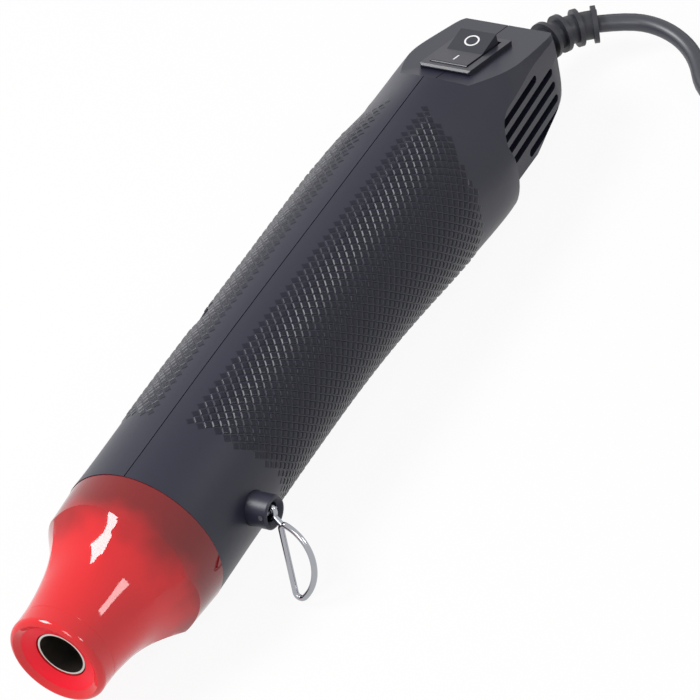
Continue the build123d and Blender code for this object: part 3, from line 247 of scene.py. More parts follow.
def per(size_mm):
    """Scale of a pattern whose real size, such as from bump to bump, is in millimetres."""
    return 1 / (size_mm * MM)


def add_node(tree, kind, settings=None, inputs=None):
    """Adds one node. An input, by name or number, gets a value or a link from a socket."""
    node = tree.nodes.new(kind)
    for name, value in (settings or {}).items():
        setattr(node, name, value)
    for name, value in (inputs or {}).items():
        if isinstance(value, bpy.types.NodeSocket):
            tree.links.new(value, node.inputs[name])
        else:
            node.inputs[name].default_value = value
    return node


def new_material(key, name, colour, **values):
    """Makes a finish and returns its surface: tree, Principled BSDF and Object coordinates."""
    material = bpy.data.materials.new(name)
    material.use_nodes = True
    material.diffuse_color = rgba(colour)
    tree = material.node_tree
    shader = tree.nodes["Principled BSDF"]
    shader.inputs["Base Color"].default_value = rgba(colour)
    for socket, value in values.items():
        shader.inputs[socket.replace("_", " ")].default_value = value
    finishes[key] = material
    return tree, shader, add_node(tree, "ShaderNodeTexCoord").outputs["Object"]


def tint(surface, share, first, second):
    """Blends the base colour from one to another by a share that changes over the surface."""
    tree, shader, _ = surface
    mix = add_node(tree, "ShaderNodeMix", {"data_type": "RGBA"}, {0: share, 6: rgba(first), 7: rgba(second)})
    tree.links.new(mix.outputs[2], shader.inputs["Base Color"])


def emboss(surface, height, strength, depth_mm):
    """Lets a pattern stand out of the surface."""
    tree, shader, _ = surface
    bump = add_node(tree, "ShaderNodeBump", inputs={
        "Height": height, "Strength": strength, "Distance": depth_mm * MM})
    tree.links.new(bump.outputs["Normal"], shader.inputs["Normal"])


def grain(surface, size_mm, depth_mm, strength, detail=3.0):
    """Fine bumps of a moulded surface: size_mm from bump to bump, depth_mm high."""
    tree, _, spots = surface
    noise = add_node(tree, "ShaderNodeTexNoise", inputs={
        "Vector": spots, "Scale": per(size_mm), "Detail": detail})
    emboss(surface, noise.outputs["Fac"], strength, depth_mm)


def patches(surface, first, second, size_mm, socket="Base Color"):
    """Lets a colour, or the value of another socket, wander between two over patches."""
    tree, shader, spots = surface
    noise = add_node(tree, "ShaderNodeTexNoise", inputs={
        "Vector": spots, "Scale": per(size_mm), "Detail": 2.0})
    if socket == "Base Color":
        tint(surface, noise.outputs["Fac"], first, second)
        return
    spread = add_node(tree, "ShaderNodeMapRange", inputs={
        "Value": noise.outputs["Fac"], "To Min": first, "To Max": second})
    tree.links.new(spread.outputs["Result"], shader.inputs[socket])


def shade_cover(surface, colour):
    """Paints shade on the cover: darker towards its band, on a border that wanders round it."""
    tree, _, spots = surface
    along = add_node(tree, "ShaderNodeSeparateXYZ", inputs={"Vector": spots})
    clouds = add_node(tree, "ShaderNodeTexNoise", inputs={
        "Vector": spots, "Scale": per(COVER_CLOUD), "Detail": 2.0})
    wander = add_node(tree, "ShaderNodeMapRange", inputs={
        "Value": clouds.outputs["Fac"], "To Min": -COVER_WANDER * MM, "To Max": COVER_WANDER * MM})
    spot = add_node(tree, "ShaderNodeMath", {"operation": "ADD"},
                    {0: along.outputs["Y"], 1: wander.outputs["Result"]})
    thin = add_node(tree, "ShaderNodeMapRange", {"interpolation_type": "SMOOTHSTEP"}, {
        "Value": spot.outputs[0],
        "From Min": (COVER_BAND_STATION - HEEL_STATION) * MM,
        "From Max": (COVER_BRIGHT_STATION - HEEL_STATION) * MM})
    tint(surface, thin.outputs["Result"], scaled(colour, COVER_BAND_SHADE), colour)


def make_mouldings(colours):
    """Finishes of the shells, the cover and the switch."""
    # ABS from a spark-eroded die: a fine even grain that breaks up the gloss. The real grain is
    # about a tenth of a millimetre, and is drawn coarser so that it shows, as are those below
    surface = new_material("shell", "spark_eroded_abs", colours.shell,
                           Roughness=0.4, IOR=1.54, Specular_IOR_Level=0.35)
    patches(surface, scaled(colours.shell, 0.94), scaled(colours.shell, 1.06), 9.0)
    grain(surface, 0.35, 0.02, 0.6)
    # The same ABS on the pads, rubbed smoother by the hand: sharper, weaker lights, and painted darker than
    # the shells as painted shade of the grip
    surface = new_material("knurl", "knurled_abs_painted_shade", colours.shell,
                           Roughness=0.3, IOR=1.54, Specular_IOR_Level=0.22)
    patches(surface, scaled(colours.shell, 0.62), scaled(colours.shell, 0.8), 6.0)
    # Tinted polycarbonate, polished in its die: deep red with sharp reflections that waver a
    # little where it shrank. Towards its band it is painted darker, as painted shade where it meets the body
    surface = new_material("cover", "tinted_polycarbonate", colours.cover, Roughness=0.05, IOR=1.5)
    shade_cover(surface, colours.cover)
    grain(surface, 6.0, 0.02, 0.25, detail=1.0)
    # The dish of the mouth is left less polished: an even bright red without reflections
    surface = new_material("dish", "matt_polycarbonate", shade("F0182E"),
                           Roughness=0.35, IOR=1.58, Specular_IOR_Level=0.15)
    patches(surface, shade("EA162A"), shade("F61E34"), 5.0)
    grain(surface, 0.4, 0.01, 0.3)
    # Nylon of the switch: blacker and smoother than the shells, with soft broad lights
    surface = new_material("switch", "moulded_nylon", shade("1F202C"), Roughness=0.35, IOR=1.53)
    patches(surface, shade("1C1D29"), shade("232430"), 5.0)
    grain(surface, 0.3, 0.01, 0.4)
    # Ink of the rocker's marks: flat white, slightly uneven where the pad pressed it on
    surface = new_material("mark", "pad_printed_white", colours.mark, Roughness=0.5)
    grain(surface, 0.2, 0.005, 0.5)


def make_rubbery(colours):
    """Finishes of the cord and what is moulded on it."""
    # Extruded soft PVC: a satin grey jacket with a faint orange peel
    surface = new_material("cord", "soft_pvc", colours.rubber, Roughness=0.38, IOR=1.53)
    patches(surface, scaled(colours.rubber, 0.9), scaled(colours.rubber, 1.08), 12.0)
    grain(surface, 0.8, 0.015, 0.4)
    # Harder PVC of boot, tie and plug: darker and duller than the jacket, with a moulded grain
    surface = new_material("boot", "moulded_pvc_boot", shade("26272F"), Roughness=0.45, IOR=1.53)
    patches(surface, shade("22232B"), shade("2B2C34"), 7.0)
    grain(surface, 0.5, 0.02, 0.5)


def make_metals():
    """Finishes of wire, sheet and fasteners."""
    # Chromed spring wire: a mirror that clouds over slightly in places
    surface = new_material("chrome", "chromed_wire", shade("A4A6AC"), Metallic=1.0, Roughness=0.12)
    patches(surface, 0.09, 0.17, 3.0, socket="Roughness")
    # Drawn steel tube: silver that the heat has tinted a faint straw colour in patches
    surface = new_material("steel", "heat_tinted_steel", shade("C9C6C2"), Metallic=1.0, Roughness=0.25)
    patches(surface, shade("D8D6D2"), shade("B9B2A8"), 8.0)
    grain(surface, 0.5, 0.01, 0.3)
    # Zinc plating: bright grey, here clear and there milky
    surface = new_material("zinc", "zinc_plated_steel", shade("B4B6BA"), Metallic=1.0, Roughness=0.3)
    patches(surface, 0.24, 0.38, 4.0, socket="Roughness")
    # Blackened screws: almost black, with an oily sheen that comes and goes
    surface = new_material("screw", "black_oxide_steel", shade("2A2A2C"), Metallic=1.0, Roughness=0.4)
    patches(surface, 0.32, 0.5, 1.5, socket="Roughness")
    # Satin aluminium plate: bare, with fine lines along it that draw its reflection out sideways.
    # The lines are a few hundredths apart on the real plate, and are drawn coarser
    surface = new_material("label", "satin_aluminium", shade("C4C6C8"), Metallic=1.0, Roughness=0.34)
    tree, _, spots = surface
    drawn_out = add_node(tree, "ShaderNodeMapping", inputs={"Vector": spots, "Scale": (1.0, 0.03, 1.0)})
    lines = add_node(tree, "ShaderNodeTexNoise", inputs={
        "Vector": drawn_out.outputs["Vector"], "Scale": per(0.25), "Detail": 2.0})
    emboss(surface, lines.outputs["Fac"], 0.25, 0.01)
    # Stamped brass: warm yellow, dulled here and there by handling
    surface = new_material("brass", "stamped_brass", shade("C9A75A"), Metallic=1.0, Roughness=0.28)
    patches(surface, 0.22, 0.36, 3.0, socket="Roughness")
    # Resistance wire that has glowed: a grey brown oxide skin instead of metal gloss
    surface = new_material("wire", "oxidised_resistance_wire", shade("6A625C"), Metallic=1.0, Roughness=0.45)
    patches(surface, shade("5A524C"), shade("7C726A"), 2.0)
    # Stacked iron sheets: dull, with a line round the stack for each sheet
    surface = new_material("iron", "laminated_iron", shade("5E5650"), Metallic=0.9, Roughness=0.5)
    tree, _, spots = surface
    sheets = add_node(tree, "ShaderNodeTexWave", {"bands_direction": "Y"}, {
        "Vector": spots, "Scale": per(2.0), "Distortion": 0.0})
    emboss(surface, sheets.outputs["Fac"], 0.5, 0.05)


def make_insulation():
    """Finishes of what carries the heater, the motor and the wiring."""
    # Sheet mica: pale brown flakes pressed together, with a pearly look
    surface = new_material("mica", "pressed_mica", shade("B6A482"), Roughness=0.3)
    tree, _, spots = surface
    flakes = add_node(tree, "ShaderNodeTexVoronoi", inputs={"Vector": spots, "Scale": per(1.6)})
    tint(surface, flakes.outputs["Distance"], shade("A08C68"), shade("CDBE9C"))
    # Heat-resistant phenolic of duct and rings: dull, nearly black and slightly mottled
    surface = new_material("phenolic", "phenolic_moulding", shade("2B2A2C"), Roughness=0.55)
    patches(surface, shade("252426"), shade("343234"), 3.0)
    grain(surface, 0.4, 0.02, 0.5)
    # Circuit board: glossy green varnish over the weave, a little cloudy
    surface = new_material("board", "glass_epoxy_board", shade("2F5A3C"), Roughness=0.35)
    patches(surface, shade("2A5236"), shade("366646"), 1.2)
    # Capacitor's shrunk plastic sleeve: glossy dark blue
    surface = new_material("sleeve", "sleeved_can", shade("2E3A66"), Roughness=0.3)
    patches(surface, shade("29345C"), shade("35426F"), 2.0)
    # Sintered ferrite of the magnets: charcoal, matt and finely pitted
    surface = new_material("ferrite", "sintered_ferrite", shade("303032"), Roughness=0.6)
    grain(surface, 0.2, 0.02, 0.7)


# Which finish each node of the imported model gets
NODE_FINISHES = {
    "nozzle_cover": "cover", "left_shell": "shell", "right_shell": "shell", "switch_housing": "switch",
    "rocker": "switch", "switch_terminals": "brass", "ring_lug": "shell", "lug_clip": "zinc",
    "ring_pin": "zinc", "hang_ring": "chrome", "label_plate": "label", "case_screws": "screw",
    "heater_tube": "steel", "barrel_ring_front": "mica", "barrel_ring_rear": "mica",
    "mica_sleeve": "mica", "heater_board_a": "mica", "heater_board_b": "mica",
    "heater_winding": "wire", "thermal_fuse": "brass", "fan_duct": "phenolic",
    "fan_impeller": "phenolic", "motor_shaft": "zinc", "armature": "iron", "motor_can": "zinc",
    "motor_magnets": "ferrite", "motor_end_cap": "phenolic", "motor_terminals": "brass",
    "motor_screws": "zinc", "rectifier_board": "board", "diodes": "phenolic",
    "capacitor": "sleeve", "strain_relief": "boot", "cord_clamp": "phenolic", "clamp_screws": "zinc",
    "inner_cord": "cord", "coil_tie": "boot", "plug_body": "boot", "plug_pins": "brass",
}


def link(obj):
    """Puts a new object into the scene."""
    bpy.context.scene.collection.objects.link(obj)
    return obj


def smooth_copy(node, name, material, sharp):
    """A merged, smoothly shaded copy of a node. Edges that turn by more degrees than given stay sharp."""
    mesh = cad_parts[node].data.copy()
    mesh.name = name
    shape = bmesh.new()
    shape.from_mesh(mesh)
    bmesh.ops.remove_doubles(shape, verts=shape.verts, dist=MERGE_DISTANCE)
    bmesh.ops.dissolve_degenerate(shape, dist=MERGE_DISTANCE / 10, edges=shape.edges)
    for edge in shape.edges:
        edge.smooth = len(edge.link_faces) == 2 and edge.calc_face_angle(pi) < radians(sharp)
    for face in shape.faces:
        face.smooth = True
    shape.to_mesh(mesh)
    shape.free()
    mesh.materials.clear()
    mesh.materials.append(material)
    return link(bpy.data.objects.new(name, mesh))


def section_row(station):
    """The body section's shares at a station, on smooth curves through the given rows."""
    share = station / BODY_LENGTH
    rows = BODY_SECTIONS
    index = max(i for i in range(len(rows) - 1) if rows[i][0] <= share)
    first, second = rows[index], rows[index + 1]
    before, after = rows[max(index - 1, 0)], rows[min(index + 2, len(rows) - 1)]
    span = second[0] - first[0]
    part = (share - first[0]) / span
    passed = 3 * part ** 2 - 2 * part ** 3
    leaving, arriving = part ** 3 - 2 * part ** 2 + part, part ** 3 - part ** 2
    values = []
    for k in range(1, 7):
        slope_first = (second[k] - before[k]) / (second[0] - before[0]) * span
        slope_second = (after[k] - first[k]) / (after[0] - first[0]) * span
        values.append((1 - passed) * first[k] + leaving * slope_first
                      + passed * second[k] + arriving * slope_second)
    return values


def outline_point(station, turn):
    """Point (x, level) on the outline of the body's right half, at an angle from the top."""
    shares = section_row(station)
    width, top, bottom, waist = (share * COLLAR_RADIUS for share in shares[:4])
    top_full, bottom_full = shares[4:]

    def curve(part):
        """Runs from the top at 0 over the widest point at 1 to the bottom at 2."""
        if part < 1:
            ends = ((0, top), (top_full * width, top),
                    (width, waist + top_full * (top - waist)), (width, waist))
        else:
            part -= 1
            ends = ((width, waist), (width, waist - bottom_full * (waist + bottom)),
                    (bottom_full * width, -bottom), (0, -bottom))
        rest = 1 - part
        weights = (rest ** 3, 3 * rest * rest * part, 3 * rest * part * part, part ** 3)
        return tuple(sum(w * e[k] for w, e in zip(weights, ends)) for k in (0, 1))

    low, high, halvings = 0.0, 2.0, 24
    for _ in range(halvings):
        middle = (low + high) / 2
        x, level = curve(middle)
        if math.atan2(x, level) < turn:
            low = middle
        else:
            high = middle
    return curve((low + high) / 2)


def outward(side, station, turn):
    """Direction that faces straight out of the body's surface."""
    above, below = outline_point(station, turn - TURN_STEP), outline_point(station, turn + TURN_STEP)
    ahead, behind = outline_point(station - STATION_STEP, turn), outline_point(station + STATION_STEP, turn)
    round_way = Vector((side * (below[0] - above[0]), 0, below[1] - above[1]))
    long_way = Vector((side * (behind[0] - ahead[0]), 2 * STATION_STEP, behind[1] - ahead[1]))
    return (round_way.cross(long_way) * side).normalized()


def stays_bare(station, level, degrees):
    """Whether a spot on the left lies in a screw well or under the label plate."""
    if any((station - s) ** 2 + (level - l) ** 2 < SCREW_BARE_RADIUS ** 2 for s, l in SCREW_WELLS):
        return True
    shift = radians(degrees - LABEL_TURN) * COLLAR_RADIUS
    return ((station - LABEL_STATION) / (LABEL_HALF_LENGTH + LABEL_MARGIN)) ** 2 \
        + (shift / (LABEL_HALF_HEIGHT + LABEL_MARGIN)) ** 2 < 1


def knurl_points(side, pitch):
    """Place, outward direction and rise of each pad on one side, on a grid at 45 degrees."""
    step = pitch / MM / math.sqrt(2)
    rows = []
    for along in range(int(PANEL_END / step) + 1):
        station = along * step
        for across in range(int(radians(PANEL_BOTTOM) * COLLAR_RADIUS / step) + 1):
            turn = across * step / COLLAR_RADIUS
            degrees = math.degrees(turn)
            if (along + across) % 2 or not PANEL_TOP <= degrees <= PANEL_BOTTOM:
                continue
            front, rear = between(PANEL_FRONT, degrees), between(PANEL_REAR, degrees)
            if not front <= station <= rear:
                continue
            x, level = outline_point(station, turn)
            if side < 0 and stays_bare(station, level, degrees):
                continue
            edge = min(station - front, rear - station, radians(degrees - PANEL_TOP) * COLLAR_RADIUS)
            rise = min(1.0, EDGE_RISE + edge / EDGE_FADE)
            rows.append((place(side * x, station, level), outward(side, station, turn), rise))
    return rows


def pad_mesh(sizes, material):
    """One pad: a low square with sloping sides and a slightly crowned top, its foot in the body."""
    height = sizes.knurl_height
    foot = (sizes.knurl_pitch - sizes.knurl_groove) / 2
    rim = foot - height * PAD_SHOULDER
    rings = ((foot, -height * PAD_SUNK), (foot, 0.0), (rim, height * PAD_SHOULDER), (rim * PAD_CROWN, height))
    shape = bmesh.new()
    loops = [[shape.verts.new((half * sx, half * sy, z)) for sx, sy in ((1, 1), (-1, 1), (-1, -1), (1, -1))]
             for half, z in rings]
    for lower, upper in zip(loops, loops[1:]):
        for k in range(4):
            shape.faces.new((lower[k], lower[(k + 1) % 4], upper[(k + 1) % 4], upper[k]))
    shape.faces.new(loops[-1])
    mesh = bpy.data.meshes.new("knurl_pad")
    shape.to_mesh(mesh)
    shape.free()
    mesh.materials.append(material)
    return mesh


def knurl_tree(pad, shell, material):
    """Geometry Nodes that drop a pad from each point onto the shell and turn it to face outwards."""
    tree = bpy.data.node_groups.new("knurl", "GeometryNodeTree")
    tree.interface.new_socket("Geometry", in_out="INPUT", socket_type="NodeSocketGeometry")
    tree.interface.new_socket("Lift", in_out="INPUT", socket_type="NodeSocketFloat")
    tree.interface.new_socket("Reach", in_out="INPUT", socket_type="NodeSocketFloat")
    tree.interface.new_socket("Geometry", in_out="OUTPUT", socket_type="NodeSocketGeometry")
    source = tree.nodes.new("NodeGroupInput")
    result = tree.nodes.new("NodeGroupOutput")
    facing = add_node(tree, "GeometryNodeInputNamedAttribute", {"data_type": "FLOAT_VECTOR"},
                      {"Name": "facing"})
    rise = add_node(tree, "GeometryNodeInputNamedAttribute", {"data_type": "FLOAT"}, {"Name": "rise"})
    position = add_node(tree, "GeometryNodeInputPosition")
    # A ray from above each point finds the shell under it
    raised = add_node(tree, "ShaderNodeVectorMath", {"operation": "SCALE"},
                      {"Vector": facing.outputs[0], "Scale": source.outputs["Lift"]})
    start = add_node(tree, "ShaderNodeVectorMath", {"operation": "ADD"},
                     {0: position.outputs[0], 1: raised.outputs[0]})
    inward = add_node(tree, "ShaderNodeVectorMath", {"operation": "SCALE"},
                      {"Vector": facing.outputs[0], "Scale": -1.0})
    target = add_node(tree, "GeometryNodeObjectInfo", {"transform_space": "ORIGINAL"}, {"Object": shell})
    ray = add_node(tree, "GeometryNodeRaycast", inputs={
        "Target Geometry": target.outputs["Geometry"], "Source Position": start.outputs[0],
        "Ray Direction": inward.outputs[0], "Ray Length": source.outputs["Reach"]})
    moved = add_node(tree, "GeometryNodeSetPosition", inputs={
        "Geometry": source.outputs["Geometry"], "Selection": ray.outputs["Is Hit"],
        "Position": ray.outputs["Hit Position"]})
    # The pads stand on a corner: the tool's length runs from corner to corner
    turned = add_node(tree, "FunctionNodeAxesToRotation", {"primary_axis": "Z", "secondary_axis": "X"},
                      {"Primary Axis": facing.outputs[0], "Secondary Axis": (0.0, 1.0, 0.0)})
    quarter = add_node(tree, "FunctionNodeRotateRotation", {"rotation_space": "LOCAL"},
                       {"Rotation": turned.outputs[0], "Rotate By": (0.0, 0.0, pi / 4)})
    stretch = add_node(tree, "ShaderNodeCombineXYZ", inputs={"X": 1.0, "Y": 1.0, "Z": rise.outputs[0]})
    stamp = add_node(tree, "GeometryNodeObjectInfo", {"transform_space": "ORIGINAL"}, {"Object": pad})
    stamped = add_node(tree, "GeometryNodeInstanceOnPoints", inputs={
        "Points": moved.outputs[0], "Instance": stamp.outputs["Geometry"],
        "Rotation": quarter.outputs[0], "Scale": stretch.outputs[0]})
    real = add_node(tree, "GeometryNodeRealizeInstances", inputs={"Geometry": stamped.outputs[0]})
    dressed = add_node(tree, "GeometryNodeSetMaterial", inputs={
        "Geometry": real.outputs[0], "Material": material})
    tree.links.new(dressed.outputs[0], result.inputs[0])
    return tree


def set_input(modifier, name, value):
    """Sets an input of a Geometry Nodes modifier, by its socket's identifier."""
    sockets = modifier.node_group.interface.items_tree
    modifier[next(s.identifier for s in sockets if s.in_out == "INPUT" and s.name == name)] = value


def baked(obj, name):
    """What an object's modifiers make, as a plain mesh object at the origin."""
    graph = bpy.context.evaluated_depsgraph_get()
    mesh = bpy.data.meshes.new_from_object(obj.evaluated_get(graph), depsgraph=graph)
    mesh.name = name
    return link(bpy.data.objects.new(name, mesh))


class HEATTOOL_OT_finishes(bpy.types.Operator):
    """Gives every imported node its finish"""

    bl_idname = "heat_tool.finishes"
    bl_label = "Finishes"

    def execute(self, context):
        colours = context.scene.heat_tool_colours
        make_mouldings(colours)
        make_rubbery(colours)
        make_metals()
        make_insulation()
        for node, finish in NODE_FINISHES.items():
            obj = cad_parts[node]
            obj.data.materials.clear()
            obj.data.materials.append(finishes[finish])
        return {"FINISHED"}


class HEATTOOL_OT_shells(bpy.types.Operator):
    """Shades the two shells smoothly and opens the parting line between them"""

    bl_idname = "heat_tool.shells"
    bl_label = "Shells"

    def execute(self, context):
        half_gap = context.scene.heat_tool_sizes.seam_gap / 2
        for node, side in (("left_shell", -1), ("right_shell", 1)):
            obj = smooth_copy(node, "body_" + node, finishes["shell"], BODY_SHARP)
            for vertex in obj.data.vertices:
                if abs(vertex.co.x) < MERGE_DISTANCE:
                    vertex.co.x = side * half_gap
            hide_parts(node)
            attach(obj, "housing")
        return {"FINISHED"}


class HEATTOOL_OT_knurl(bpy.types.Operator):
    """Covers the grip of each shell with raised pads"""

    bl_idname = "heat_tool.knurl"
    bl_label = "Knurled grip"

    def execute(self, context):
        sizes = context.scene.heat_tool_sizes
        pad = link(bpy.data.objects.new("knurl_pad", pad_mesh(sizes, finishes["knurl"])))
        for name, node, side in (("left", "left_shell", -1), ("right", "right_shell", 1)):
            rows = knurl_points(side, sizes.knurl_pitch)
            mesh = bpy.data.meshes.new("knurl_points")
            mesh.from_pydata([row[0] for row in rows], [], [])
            facing = mesh.attributes.new("facing", "FLOAT_VECTOR", "POINT")
            facing.data.foreach_set("vector", [v for row in rows for v in row[1]])
            rise = mesh.attributes.new("rise", "FLOAT", "POINT")
            rise.data.foreach_set("value", [row[2] for row in rows])
            points = link(bpy.data.objects.new("knurl_points", mesh))
            modifier = points.modifiers.new("knurl", "NODES")
            modifier.node_group = knurl_tree(pad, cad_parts[node], finishes["knurl"])
            set_input(modifier, "Lift", KNURL_LIFT * MM)
            set_input(modifier, "Reach", KNURL_REACH * MM)
            panel = baked(points, "knurl_" + name)
            bpy.data.objects.remove(points)
            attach(panel, "housing")
        bpy.data.objects.remove(pad)
        return {"FINISHED"}


class HEATTOOL_OT_cover(bpy.types.Operator):
    """Shades the nozzle cover and the outlet behind its mouth"""

    bl_idname = "heat_tool.cover"
    bl_label = "Nozzle cover"

    def execute(self, context):
        cover = smooth_copy("nozzle_cover", "tinted_cover", finishes["cover"], COVER_SHARP)
        cover.data.materials.append(finishes["dish"])
        mouth = min(vertex.co.y for vertex in cover.data.vertices)
        for face in cover.data.polygons:
            reach = math.hypot(face.center.x, face.center.z - AXIS_HEIGHT * MM)
            near = face.center.y < mouth + DISH_DEPTH * MM and reach < DISH_RADIUS * MM
            if near and face.normal.y < -DISH_FACING:
                face.material_index = 1
        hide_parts("nozzle_cover")
        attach(cover, "housing")
        tube = smooth_copy("heater_tube", "outlet_tube", finishes["steel"], BODY_SHARP)
        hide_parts("heater_tube")
        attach(tube, "housing")
        return {"FINISHED"}


def rocker_spot(offset):
    """Matrix of a spot on the rocker's top behind its pivot: y lies along the top, z faces out."""
    slope = math.atan2(PLATFORM_FRONT_LEVEL - PLATFORM_REAR_LEVEL, BODY_LENGTH - PLATFORM_FRONT)
    level = PLATFORM_FRONT_LEVEL - (SWITCH_STATION - PLATFORM_FRONT) * tan(slope)
    pivot = place(0, SWITCH_STATION - ROCKER_PIVOT_DEPTH * sin(slope),
                  level - ROCKER_PIVOT_DEPTH * cos(slope))
    turn = slope - radians(ROCKER_TILT)
    rearward, upward = Vector((0, cos(turn), -sin(turn))), Vector((0, sin(turn), cos(turn)))
    rise = math.atan2(ROCKER_TOP - ROCKER_VALLEY, ROCKER_HALF)
    height = ROCKER_VALLEY + abs(offset) * tan(rise)
    lean = math.copysign(rise, offset)
    lengthwise = rearward * cos(lean) + upward * sin(lean)
    normal = upward * cos(lean) - rearward * sin(lean)
    matrix = Matrix((lengthwise.cross(normal), lengthwise, normal)).transposed().to_4x4()
    matrix.translation = pivot + (rearward * offset + upward * height + normal * MARK_PROUD) * MM
    return matrix


def ring_mark(shape, width):
    """Draws a flat ring of the given line width, facing up."""
    angles = [2 * pi * k / RING_MARK_STEPS for k in range(RING_MARK_STEPS)]
    inner, outer = ([shape.verts.new((r * cos(a), r * sin(a), 0)) for a in angles]
                    for r in (RING_MARK_RADIUS * MM - width / 2, RING_MARK_RADIUS * MM + width / 2))
    for k in range(RING_MARK_STEPS):
        shape.faces.new((inner[k - 1], outer[k - 1], outer[k], inner[k]))


def bar_mark(shape, width):
    """Draws a flat bar of the given line width with round ends, facing up."""
    radius = width / 2
    middle = BAR_MARK_HALF * MM - radius
    turns = [radians(degrees) for degrees in range(0, 181, 30)]
    shape.faces.new([shape.verts.new((end * radius * cos(turn), end * (middle + radius * sin(turn)), 0))
                     for end in (1, -1) for turn in turns])


class HEATTOOL_OT_switch(bpy.types.Operator):
    """Marks the rocker with a ring and a bar"""

    bl_idname = "heat_tool.switch"
    bl_label = "Rocker marks"

    def execute(self, context):
        width = context.scene.heat_tool_sizes.mark_width
        marks = (("mark_off", RING_MARK_PLACE, ring_mark), ("mark_on", BAR_MARK_PLACE, bar_mark))
        for name, offset, draw in marks:
            shape = bmesh.new()
            draw(shape, width)
            shape.transform(rocker_spot(offset))
            mesh = bpy.data.meshes.new(name)
            shape.to_mesh(mesh)
            shape.free()
            mesh.materials.append(finishes["mark"])
            mark = link(bpy.data.objects.new(name, mesh))
            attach(mark, "rocker")
        return {"FINISHED"}


def boot_end():
    """Where the cord leaves the boot, and its direction there."""
    sideways = Vector((1, 0, 0))
    ahead = Vector((0, cos(radians(BOOT_DROP)), -sin(radians(BOOT_DROP))))
    bend = radians(BOOT_BEND)
    along = BOOT_STRAIGHT + BOOT_RADIUS * sin(bend)
    across = BOOT_RADIUS * (1 - cos(bend))
    end = place(0, BODY_LENGTH, BOOT_LEVEL) + (ahead * along + sideways * across) * MM
    return end, ahead * cos(bend) + sideways * sin(bend)


def coil_points(start, heading, diameter):
    """Control points of the coil: it winds inwards below, climbs, and winds outwards above."""
    pitch = diameter + COIL_GAP * MM
    innermost = COIL_INNER_RADIUS * MM
    across, upward = Vector((-heading.y, heading.x, 0)), Vector((0, 0, 1))
    # Each half turn as its radius and how far it climbs; only the innermost one changes layer
    radii = [innermost + pitch / 2 * i for i in range(COIL_HALF_TURNS, 0, -1)]
    half_turns = [(radius, 0.0) for radius in radii]
    half_turns.append((innermost, math.asin(pitch / (2 * innermost))))
    half_turns += [(radius, 0.0) for radius in reversed(radii)]
    points, here, sign = [], start, 1
    for radius, tilt in half_turns:
        inward = across * (sign * cos(tilt)) + upward * sin(tilt)
        centre = here + inward * radius
        arm = radius / cos(pi / (2 * POINTS_PER_HALF_TURN))
        for k in range(POINTS_PER_HALF_TURN):
            angle = pi * (k + 0.5) / POINTS_PER_HALF_TURN
            points.append(centre - inward * (arm * cos(angle)) + heading * (sign * arm * sin(angle)))
        here = centre + inward * radius
        sign = -sign
    return points, here, heading * sign


class HEATTOOL_OT_cord(bpy.types.Operator):
    """Lays the cord from the boot to its tied coil and the plug"""

    bl_idname = "heat_tool.cord"
    bl_label = "Cord"

    def execute(self, context):
        diameter = context.scene.heat_tool_sizes.cord_diameter
        end, ahead = boot_end()
        corners = [place(*corner) for corner in CORD_CORNERS]
        entry = place(*COIL_START)
        heading = (entry - corners[-1]).normalized()
        coil_start = entry + heading * diameter
        coil, coil_end, out = coil_points(coil_start, heading, diameter)
        points = [end, end + ahead * CORD_FIRST_RUN * MM, *corners, entry, *coil,
                  coil_end + out * diameter, coil_end + out * COIL_TAIL * MM]
        # One smooth line through the route, drawn with a round section
        curve = bpy.data.curves.new("mains_cord", "CURVE")
        curve.dimensions = "3D"
        spline = curve.splines.new("NURBS")
        spline.points.add(len(points) - 1)
        for target, point in zip(spline.points, points):
            target.co = (*point, 1.0)
        spline.order_u = 3
        spline.use_endpoint_u = True
        spline.resolution_u = 4
        curve.bevel_depth = diameter / 2
        curve.bevel_resolution = 5
        curve.use_fill_caps = True
        curve.materials.append(finishes["cord"])
        cord = link(bpy.data.objects.new("mains_cord", curve))
        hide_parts("cord_run", "cord_coil")
        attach(cord, "housing")
        return {"FINISHED"}


def make_floor():
    """A pale floor that keeps the tool's shadow and is nearly plain white to the camera."""
    mesh = bpy.data.meshes.new("floor")
    corners = [(x * FLOOR_HALF, y * FLOOR_HALF, 0) for x, y in ((-1, -1), (1, -1), (1, 1), (-1, 1))]
    mesh.from_pydata(corners, [], [(0, 1, 2, 3)])
    # Matt board: even, with no reflections
    tree, shader, _ = new_material("floor", "pale_floor", shade("E7E7E7"), Roughness=0.9)
    glow = add_node(tree, "ShaderNodeEmission", inputs={"Color": rgba(shade("FFFFFF")), "Strength": 1.0})
    white = add_node(tree, "ShaderNodeMath", {"operation": "MULTIPLY"}, {0: seen_rays(tree), 1: FLOOR_WHITE})
    mix = add_node(tree, "ShaderNodeMixShader", inputs={
        0: white.outputs[0], 1: shader.outputs[0], 2: glow.outputs[0]})
    tree.links.new(mix.outputs[0], tree.nodes["Material Output"].inputs["Surface"])
    mesh.materials.append(finishes["floor"])
    return link(bpy.data.objects.new("floor", mesh))


def seen_rays(tree):
    """1 for what the camera sees, itself or in metal and glass, and 0 for what only lights."""
    rays = add_node(tree, "ShaderNodeLightPath")
    mirrored = add_node(tree, "ShaderNodeMath", {"operation": "MAXIMUM"},
                        {0: rays.outputs["Is Glossy Ray"], 1: rays.outputs["Is Transmission Ray"]})
    seen = add_node(tree, "ShaderNodeMath", {"operation": "MAXIMUM"},
                    {0: rays.outputs["Is Camera Ray"], 1: mirrored.outputs[0]})
    return seen.outputs[0]


